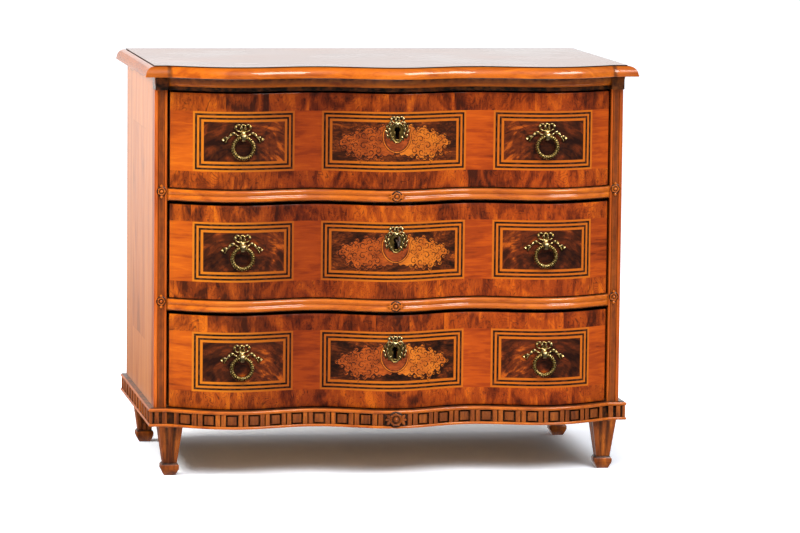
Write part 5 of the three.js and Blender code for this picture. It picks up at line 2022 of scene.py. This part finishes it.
@dataclass
class Brass(Builder):
    """Gilt pulls and escutcheons in the bow-and-wreath manner.

    The ribbons' guide points are in millimetres; SPRAY gives leaves as (x, z, angle, length in metres).

    Args:
        thickness: of the castings.
        radius, core: of a wreath's ring and of the rod under its leaves.
        rows, around: leaves along a wreath and around it.
    """

    thickness: float = 0.0034
    radius: float = 0.022
    core: float = 0.0034
    rows: int = 30
    around: int = 5

    LOOP = ((0, 0), (-5, 4), (-11, 6), (-15.5, 10), (-15, 16), (-10, 19), (-5, 16.5), (-2.5, 9), (-0.5, 2))
    SMALL_LOOP = ((-1, 2), (-5, 8), (-5.5, 15), (0, 19), (5.5, 15), (5, 8), (1, 2))
    TAIL = ((-1, -1), (-8, -4.5), (-14, -2), (-20, 1), (-26, -2), (-31, -8), (-37, -8), (-43, -14))
    FORK = ((-31, -8), (-34, -12), (-37, -18))
    SPRAY = (
        (12, -13, 122, 0.012), (15.5, -6, 100, 0.013), (17, 3, 88, 0.014), (15.5, 12, 108, 0.013),
        (20.5, -9, 72, 0.011), (22.5, 0, 62, 0.012), (21.5, 9, 80, 0.012), (17.5, 18, 128, 0.013),
    )
    RIM = (
        (0.0, 0.0), (0.0, 0.0022), (0.08, 0.0028), (0.30, 0.0026), (0.62, 0.0018), (0.74, 0.0024),
        (0.86, 0.0034), (0.95, 0.0030), (1.0, 0.0016), (1.0, 0.0),
    )

    def mounted(self, bm: Mesh, x: float, z: float) -> Mesh:
        """Args: bm: casting about the origin; x, z: its place. Returns: it, lying on the front."""
        face = self.layout.drawer_face
        return bent(bm, lambda point: self.on_front(x + point.x, -point.y, z + point.z, face))

    def fix(self, node: str, number: int, bm: Mesh, depth: float) -> None:
        """Args: node: it stands for; number: of the drawer; bm; depth: of its relief. Delivers a casting."""
        self.shop.deliver(
            f"gilt_{node}", bm, Slot.BRASS, f"drawer_{number}", node, 50,
            lambda point: -self.behind(point, self.layout.drawer_face) / depth,
        )

    def ribbon(self, guides: Iterable[Point], width: float, wave: float) -> Mesh:
        """Args: guides: its line; width; wave: height of its folds. Returns: a pleated ribbon."""
        half_depth = self.thickness * 0.5
        path = smooth_path([Vector((x, 0, z)) * MILLIMETRE for x, z in guides], 36)
        for index, point in enumerate(path):
            point.y = -half_depth - wave * (0.5 + 0.5 * math.sin(index * 0.9))

        def across(share: float) -> Point:
            """Args: share: of the path. Returns: half the ribbon's width and depth there."""
            return width / 2 * (0.72 + 0.28 * math.cos(share * 4 * math.pi)), half_depth

        return tube(path, across, 12)

    def bow(self, tails: bool = True) -> Mesh:
        """Args: tails: whether it has them. Returns: a knotted bow."""
        bm = bmesh.new()
        ribbons = [(self.LOOP, 0.0062, 0.0016)]
        if tails:
            ribbons += [(self.TAIL, 0.0072, 0.0022), (self.FORK, 0.0046, 0.0012)]
        for flip in (1, -1):
            for guides, width, wave in ribbons:
                merged(bm, self.ribbon([(flip * x, z) for x, z in guides], width, wave))
        knot = moved(sized(ball(0.0050, 16, 10), 1.0, 0.9, 1.15), (0, -self.thickness * 0.6, 0))
        return merged(bm, self.ribbon(self.SMALL_LOOP, 0.0046, 0.0014), knot)

    def pull(self, number: int, side: Side) -> None:
        """Args: number: of the drawer; side: of the pull. Makes its bow, strap and wreath."""
        low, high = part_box(f"ring_{number}_{side.word}")
        x = (low.x + high.x) / 2
        hinge = high.z - 0.0045
        bow = self.mounted(self.bow(), x, hinge + 0.0075)
        strap = smooth_path([
            Vector((x, y, hinge + z)) for y, z in (
                (high.y - 0.0002, 0.008), (low.y - 0.0016, 0.006), (low.y - 0.0036, 0.0),
                (low.y - 0.0016, -0.006), (high.y + 0.002, -0.008),
            )
        ], 20)
        merged(bow, tube(strap, lambda share: (0.0042, 0.0011), 10))
        self.fix(f"bow_{number}_{side.word}", number, bow, 0.0055)
        self.wreath(f"{number}_{side.word}", Vector((x, (low.y + high.y) / 2, hinge - self.radius)))

    def wreath(self, ending: str, centre: Vector) -> None:
        """Args: ending: of the names; centre: of the ring. Makes a ring of laurel that hangs from a pull."""
        ring = [Vector((math.cos(turn), 0, math.sin(turn))) * self.radius for turn in circle(96)]
        bm = tube(ring, lambda share: (self.core, self.core), 12)
        for index in range(self.rows):
            turn = math.pi / 2 + 2 * math.pi * (index + 0.5) / self.rows
            place = Vector((math.cos(turn), 0, math.sin(turn))) * self.radius
            for around in range(self.around):
                lift = math.radians(-90 + 72 * (around + 0.5 * (index % 2)))
                blade = moved(leaf(0.0074, 0.0046, 0.0018, -0.9), (-0.0033, -self.core + 0.0003, 0))
                turned(blade, lift, "X")
                if math.cos(turn) < 0:
                    turned(blade, math.pi, "Z")
                merged(bm, moved(turned(blade, -(turn + math.pi / 2)), place))

        def relief(point: Vector) -> float:
            """Args: point: on the wreath. Returns: height of the leaf over the rod there."""
            offset = point - centre
            around = math.hypot(offset.x, offset.z) - self.radius
            return (math.hypot(around, offset.y) - 0.0030) / 0.0017

        self.shop.deliver(
            f"gilt_wreath_{ending}", moved(bm, centre), Slot.BRASS, f"pull_{ending}", f"ring_{ending}", 40,
            relief,
        )

    def escutcheon(self, number: int) -> None:
        """Args: number: of the drawer. Makes its oval plate with leaf sprays and a small bow."""
        front_low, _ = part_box(f"drawer_{number}_front")
        shift = -0.005
        bm = self.plate(0.0165, 0.0225, shift)
        for side in Side:
            for index, (x, z, angle, length) in enumerate(self.SPRAY):
                rise = -0.0012 - 0.0002 * (index % 3)
                blade = moved(leaf(length * 1.08, 0.0050, 0.0026, 0.4), (-length / 2, rise, 0))
                turned(blade, -math.radians(angle))
                moved(blade, (x * MILLIMETRE, 0, z * MILLIMETRE + shift))
                merged(bm, sized(blade, side.sign, 1, 1))
        knot = moved(sized(self.bow(tails=False), 0.84, 0.84, 0.84), (0, -0.0006, 0.0118))
        plate = self.mounted(merged(bm, knot), 0.0, front_low.z + self.layout.keyhole)
        self.fix(f"escutcheon_{number}", number, plate, 0.0042)

    def plate(self, half_width: float, half_height: float, shift: float) -> Mesh:
        """Args: half_width, half_height: of the oval; shift: of its middle. Returns: the pierced oval."""
        steps = 72
        eye, slot, drop = 0.0062, 0.0042, 0.0192
        hole, rim = [], []
        for turn in (turn + math.pi / 2 for turn in circle(steps)[:-1]):
            across, up = math.cos(turn), math.sin(turn)
            reach = max(eye, min(slot / max(abs(across), WELD), drop / -up)) if up < 0 else eye
            hole.append(Vector((across * reach, 0, up * reach)))
            rim.append(Vector((half_width * across, 0, half_height * up + shift)))

        def place(column: int, row: int) -> Vector:
            """Args: column, row: of the grid. Returns: a point between the hole and the rim."""
            share, rise = self.RIM[row % len(self.RIM)]
            return hole[column % steps].lerp(rim[column % steps], share) + Vector((0, -rise, 0))

        bm = bmesh.new()
        formed_grid(bm, steps, len(self.RIM), place)
        bmesh.ops.remove_doubles(bm, verts=bm.verts, dist=WELD)
        return bm


@dataclass
class DrawerKey(Builder):
    """Iron key with an oval bow, left in the lock of the middle drawer.

    Args:
        bow, rod: half sizes of the bow along Y and Z, and radius of its rod.
        bow_place, shank_start: where the bow's middle and the shank's end lie behind the key's front.
    """

    bow: Point = (0.0083, 0.0113)
    rod: float = 0.0017
    bow_place: float = 0.010
    shank_start: float = 0.0195

    def build(self) -> None:
        """Makes the key where its frame node stands."""
        low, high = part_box("key")
        front_low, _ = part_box("drawer_2_front")
        place = Vector(((low.x + high.x) / 2, low.y, front_low.z + self.layout.keyhole))
        loop = [
            Vector((0, self.bow_place + self.bow[0] * math.cos(turn), self.bow[1] * math.sin(turn)))
            for turn in circle(48)
        ]
        bm = tube(loop, lambda share: (self.rod, self.rod), 10, Vector((1, 0, 0)))
        length = high.y - low.y - self.shank_start
        profile = (
            (0.0, 0.0), (0.0028, 0.0), (0.0036, 0.0012), (0.0028, 0.0026), (0.0022, 0.0034),
            (0.0034, 0.0046), (0.0022, 0.0058), (0.0021, length), (0.0, length),
        )
        shank = bmesh.new()
        verts = [shank.verts.new((radius, along, 0)) for radius, along in profile]
        edges = [shank.edges.new(pair) for pair in zip(verts, verts[1:])]
        bmesh.ops.spin(
            shank, geom=[*verts, *edges], cent=Vector(), axis=Vector((0, 1, 0)), angle=2 * math.pi, steps=24,
            use_merge=True,
        )
        bmesh.ops.remove_doubles(shank, verts=shank.verts, dist=WELD)
        moved(merged(bm, moved(shank, (0, self.shank_start, 0))), place)
        self.shop.deliver("lock_key", bm, Slot.IRON, "turn_key", "key", 35)


def flat(half: float, segments: int = 1) -> Mesh:
    """Args: half: half its side; segments: per side. Returns: a level square about the origin."""
    bm = bmesh.new()
    bmesh.ops.create_grid(bm, x_segments=segments, y_segments=segments, size=half)
    return bm


def aimed(place: Colour, aim: Colour) -> Quaternion:
    """Args: place, aim: two points. Returns: the turn of a lamp at the first that faces the second."""
    return (Vector(aim) - Vector(place)).to_track_quat("-Z", "Y")


@dataclass(frozen=True)
class Studio:
    """White sweep, soft lights and the photograph's viewpoint.

    Args:
        azimuth, elevation, roll: of the camera, in degrees.
        target, distance: point it looks at, and how far that is.
        lens, sensor: in millimetres.
        floor_half: half the floor's side.
        warmth: tone of the softboxes.
        floor_seen: tone of the floor as the camera sees it.
    """

    azimuth: float = -9.78
    elevation: float = 6.47
    roll: float = 0.60
    target: Colour = (0.05943, 0.00432, 0.41794)
    distance: float = 9.6524
    lens: float = 198.57
    sensor: float = 36.0
    floor_half: float = 60.0
    warmth: Colour = (1.0, 0.97, 0.91)
    floor_seen: Colour = (1.16, 1.22, 1.34)

    def build(self, layout: Layout) -> None:
        """Args: layout: of the chest. Makes the floor, the lights and the camera."""
        bpy.context.scene.view_settings.view_transform = "Standard"
        self.floor(layout.floor_level)
        cloth = self.flags()
        self.skirts(layout, cloth)
        self.card(
            "studio_low_card", (-3.6, 5.2, -1.42), (-3.6, 0.0, -1.42), (6.0, 6.0),
            ((0.0, (0.06, 0.055, 0.05)), (1.0, (0.70, 0.665, 0.64))), (-0.9, 0.5),
        )
        self.card(
            "studio_high_card", (3.58, -3.36, 5.2), (0.0, -0.4, 0.6), (4.0, 2.8),
            ((0.0, (0.75, 0.72, 0.68)), (1.0, (1.0, 0.98, 0.95))), (4.0, 5.6), 13.0,
        )
        self.world()
        self.lights()
        self.camera()

    def floor(self, level: float) -> None:
        """Args: level: z of the floor."""
        graph = Graph("studio_floor")
        stops = ((0.4, (0.84, 0.83, 0.815)), (0.6, (0.86, 0.85, 0.835)))
        paper = graph.ramp(graph.noise(graph.object, 2.0, 2.0), stops)
        colour = graph.mix(graph.made("LightPath", "Is Camera Ray"), paper, self.floor_seen)
        paint = graph.show(graph.made("BsdfDiffuse", 0, {"Color": colour}))
        sheet = object_of("studio_floor", moved(flat(self.floor_half, 4), (0, 0, level)), paint)
        sheet.visible_glossy = False
        sheet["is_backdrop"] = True

    def flags(self) -> Material:
        """Makes the dark cards that keep the polish from turning milky. Returns: their cloth."""
        half, height = 40.0, 7.0
        bm = moved(flat(half), (0, 0, height))
        for turn, reach, aside in ((0.0, 13.0, 0.0), (math.pi / 2, 14.0, -36.0), (-math.pi / 2, 14.0, 42.0)):
            card = moved(turned(flat(half), math.pi / 2, "X"), (aside, -reach, 0.0))
            merged(bm, turned(card, turn, "Z"))
        graph = Graph("studio_flag")
        stops = ((0.4, (0.006, 0.006, 0.006)), (0.6, (0.012, 0.012, 0.012)))
        cloth = graph.ramp(graph.noise(graph.object, 40.0, 2.0), stops)
        finish = graph.surface(cloth, roughness=1.0, specular_ior_level=0.0)
        self.hang("studio_flag", bm, finish)
        return finish

    def card(
        self, name: str, place: Colour, aim: Colour, size: Point, stops: Stops, span: Point,
        strength: float = 1.0,
    ) -> None:
        """Makes a glowing card that only shows as a reflection in polish.

        Args:
            name: the card's name.
            place, aim: its middle and the point it faces.
            size: width and height.
            stops: its tones from the span's lower height to its upper one.
            span: the two heights.
            strength: times the tones.
        """
        turn = aimed(place, aim).to_matrix()
        bm = bent(sized(flat(0.5), *size, 1), lambda point: turn @ point + Vector(place))
        graph = Graph(name)
        _, _, z = graph.split("SeparateXYZ", graph.object)
        glow = {"Color": graph.ramp(graph.window(z, *span), stops), "Strength": strength}
        self.hang(name, bm, graph.show(graph.made("Emission", 0, glow)))

    def hang(self, name: str, bm: Mesh, finish: Material, shading: bool = False) -> None:
        """Args: name; bm: mesh, freed here; finish; shading: blocks light instead of showing in polish."""
        card = object_of(name, bm, finish)
        card.visible_camera = card.visible_transmission = False
        card.visible_diffuse = card.visible_shadow = shading
        card.visible_glossy = not shading
        card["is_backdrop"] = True

    def skirts(self, layout: Layout, cloth: Material) -> None:
        """Args: layout; cloth. Makes the cards that keep low light from behind and beside off the shadow."""
        gap = layout.plinth_low - layout.floor_level
        depth = layout.case_back - layout.post_face
        inset = 0.03
        beside = layout.case_half - inset
        middle = layout.case_back - depth / 2
        for word, turn, width, height, x, y in (
            ("back", 0.0, 2 * beside, 0.35 * gap, 0.0, layout.case_back - inset),
            ("left", math.pi / 2, depth - 2 * inset, 0.62 * gap, -beside, middle),
            ("right", math.pi / 2, depth - 2 * inset, 0.62 * gap, beside, middle),
        ):
            bm = turned(turned(sized(flat(0.5), width, height, 1), math.pi / 2, "X"), turn, "Z")
            self.hang(f"studio_skirt_{word}", moved(bm, (x, y, layout.plinth_low - height / 2)), cloth, True)

    def world(self) -> None:
        """Makes a world that is white to the camera and in reflections, and softer to the chest."""
        world = bpy.data.worlds.new("studio_world")
        bpy.context.scene.world = world
        graph = Graph("studio_world", world)
        seen, mirrored = (graph.made("LightPath", f"Is {word} Ray") for word in ("Camera", "Glossy"))
        lit = graph.made("Background", 0, {"Color": (1.0, 0.98, 0.95), "Strength": 0.36})
        white = graph.made("Background", 0, {"Color": (1.0, 1.0, 1.0), "Strength": 1.0})
        graph.show(graph.made("MixShader", 0, {0: graph.math("MAXIMUM", seen, mirrored), 1: lit, 2: white}))

    def lamp(self, name: str, kind: str, place: Colour, aim: Colour, power: float) -> bpy.types.Object:
        """Args: name; kind: of light; place; aim: point it faces; power. Returns: the lamp."""
        data = bpy.data.lights.new(name, kind)
        data.energy = power
        lamp = bpy.data.objects.new(name, data)
        lamp.location = place
        lamp.rotation_euler = aimed(place, aim).to_euler()
        bpy.context.scene.collection.objects.link(lamp)
        return lamp

    def lights(self) -> None:
        """Makes the overhead sun-like sheet and the softboxes."""
        sky = self.lamp("sky_sheet", "SUN", (0.0, 0.0, 0.0), (0.03, 0.80, -1.0), 2.35)
        sky.data.angle = math.radians(46)
        for name, place, aim, size, power in (
            ("softbox_key", (2.4, -4.4, 4.6), (0, -0.2, 0.5), (3.0, 2.2), 135),
            ("softbox_fill", (-2.6, -4.8, 4.4), (0, 0, 0.45), (2.8, 2.2), 34),
            ("softbox_side", (-3.6, -0.45, 2.9), (-0.4, 0.1, 0.5), (2.0, 1.6), 185),
        ):
            box = self.lamp(name, "AREA", place, aim, power)
            box.data.shape = "RECTANGLE"
            box.data.size, box.data.size_y = size
            box.data.color = self.warmth
            box.visible_camera = box.visible_glossy = False

    def camera(self) -> None:
        """Makes the camera of the photograph."""
        turn, lift, roll = (math.radians(angle) for angle in (self.azimuth, self.elevation, self.roll))
        back = Vector((math.sin(turn) * math.cos(lift), -math.cos(turn) * math.cos(lift), math.sin(lift)))
        right = Vector((math.cos(turn), math.sin(turn), 0))
        up = back.cross(right)
        x_axis = right * math.cos(roll) + up * math.sin(roll)
        y_axis = up * math.cos(roll) - right * math.sin(roll)
        data = bpy.data.cameras.new("row_camera")
        data.lens = self.lens
        data.sensor_width = self.sensor
        data.clip_end = 200.0
        camera = bpy.data.objects.new("row_camera", data)
        frame_turn = Matrix((x_axis, y_axis, back)).transposed().to_4x4()
        camera.matrix_world = Matrix.Translation(Vector(self.target) + back * self.distance) @ frame_turn
        bpy.context.scene.collection.objects.link(camera)
        bpy.context.scene.camera = camera


def walnut(
    name: str, tones: tuple[Colour, Colour, Colour], stretch: Colour, polish: Polish = Polish()
) -> Material:
    """Args: name; tones: light, middle and dark; stretch; polish. Returns: the walnut."""
    return WalnutFinish(name, *tones, stretch, polish).material()


def make_finishes() -> dict[Slot, Material]:
    """Returns: the material of each slot."""
    first_low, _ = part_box("drawer_1_front")
    second_low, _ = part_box("drawer_2_front")
    return {
        Slot.POLISHED: walnut(
            "polished_walnut", ((0.62, 0.150, 0.010), (0.46, 0.088, 0.006), (0.26, 0.040, 0.004)),
            (30.0, 14.0, 2.5),
        ),
        Slot.MOULDING: walnut(
            "walnut_moulding", ((0.63, 0.158, 0.005), (0.50, 0.112, 0.004), (0.33, 0.060, 0.003)),
            (5.0, 60.0, 60.0), Polish(0.46, 1.0, 0.07),
        ),
        Slot.VENEER: DrawerVeneer("drawer_veneer", first_low.z, second_low.z - first_low.z).material(),
        Slot.PLINTH: walnut(
            "plinth_walnut", ((0.42, 0.104, 0.006), (0.23, 0.050, 0.004), (0.075, 0.014, 0.002)),
            (52.0, 52.0, 8.0), Polish(0.50, 0.40, 0.14),
        ),
        Slot.SOFTWOOD: SoftwoodFinish("carcass_softwood", (1.3, 15.0, 15.0)).material(),
        Slot.BRASS: GiltBrass().material(),
        Slot.IRON: LockIron().material(),
    }


def make_inlays() -> dict[str, Material]:
    """Returns: the marquetry woods by name."""
    return {
        "red": InlayFinish("inlay_red", (0.40, 0.074, 0.006), (0.17, 0.028, 0.004)).material(),
        "amber": InlayFinish("inlay_amber", (0.62, 0.165, 0.010), (0.38, 0.080, 0.007)).material(),
        "oval": InlayFinish(
            "inlay_oval", (0.36, 0.062, 0.008), (0.15, 0.024, 0.005), (40.0, 40.0, 160.0)
        ).material(),
        "line": InlayFinish("inlay_line", (0.030, 0.010, 0.006), (0.012, 0.006, 0.004)).material(),
        "end": InlayFinish(
            "end_grain", (0.20, 0.055, 0.012), (0.10, 0.024, 0.006), (90.0, 90.0, 90.0)
        ).material(),
    }


def make_own() -> dict[str, Material]:
    """Returns: the finish of each frame node that has one of its own."""
    low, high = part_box("side_right")
    sides = PanelVeneer("side_veneer", (low.y, low.z), (high.y, high.z)).material()
    boards = SoftwoodFinish("back_boards", (1.3, 15.0, 15.0), board=0.148).material()
    lengthwise = SoftwoodFinish("drawer_softwood", (15.0, 1.3, 15.0)).material()
    drawer_sides = {f"drawer_{number}_side_{side.word}": lengthwise for number in (1, 2, 3) for side in Side}
    return {"side_left": sides, "side_right": sides, "back_board": boards, **drawer_sides}


def dress_frame(shop: Workshop, own: dict[str, Material]) -> None:
    """Args: shop: holds the finishes; own: nodes with their own. Gives the frame's nodes their finish."""
    for item in bpy.data.objects:
        if item.type != "MESH" or item.name in shop.delivered:
            continue
        for place in item.material_slots:
            if item.name in own:
                place.material = own[item.name]
                continue
            for slot in Slot:
                if place.material and place.material.name.startswith(slot.value):
                    place.material = shop.finishes[slot]


def plain(bounds: Sequence[Vector]) -> list[list[float]]:
    """Args: bounds: the two corners. Returns: them as plain lists."""
    return [[float(value) for value in corner] for corner in bounds]


def main() -> None:
    """Builds the chest in order and measures its size before and after."""
    logging.basicConfig(level=logging.INFO, format="%(message)s")
    start_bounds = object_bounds()
    layout = Layout.from_frame()
    shop = Workshop(make_finishes())
    inlays = make_inlays()
    # The top veneer's pale pink tones are partly the wood's own and partly painted sheen that stands for the
    # glare on the polished top.
    top = walnut(
        "top_veneer", ((0.43, 0.150, 0.064), (0.31, 0.095, 0.040), (0.16, 0.046, 0.020)), (2.6, 24.0, 24.0),
        Polish(0.3, 0.9, 0.06),
    )
    band = walnut(
        "plinth_band", ((0.56, 0.142, 0.008), (0.43, 0.098, 0.006), (0.25, 0.046, 0.004)), (5.0, 60.0, 60.0),
        Polish(0.46, 0.6, 0.09),
    )
    # The near-black line finish paints the groove's shade on the top board's front and sides.
    TopBoard(layout, shop, top, inlays["line"]).build()
    Cornice(layout, shop).build()
    CornerPost(layout, shop).build()
    for level in (1, 2):
        DrawerRail(layout, shop, level).build()
    FretPlinth(layout, shop, band, inlays["end"]).build()
    for side in Side:
        for row in Row:
            Leg(layout, shop, side, row).build()
    brass = Brass(layout, shop)
    for number in (1, 2, 3):
        # The engraving's near-black line finish also paints shade on the fronts' edges.
        DrawerFront(layout, shop, number, inlays["line"]).build()
        Cartouche(layout, shop, number, inlays).build()
        brass.escutcheon(number)
        for side in Side:
            brass.pull(number, side)
    DrawerKey(layout, shop).build()
    dress_frame(shop, make_own())
    Studio().build(layout)
    end_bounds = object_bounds()
    {"start": plain(start_bounds), "end": plain(end_bounds)}


if __name__ == "__main__":
    main()
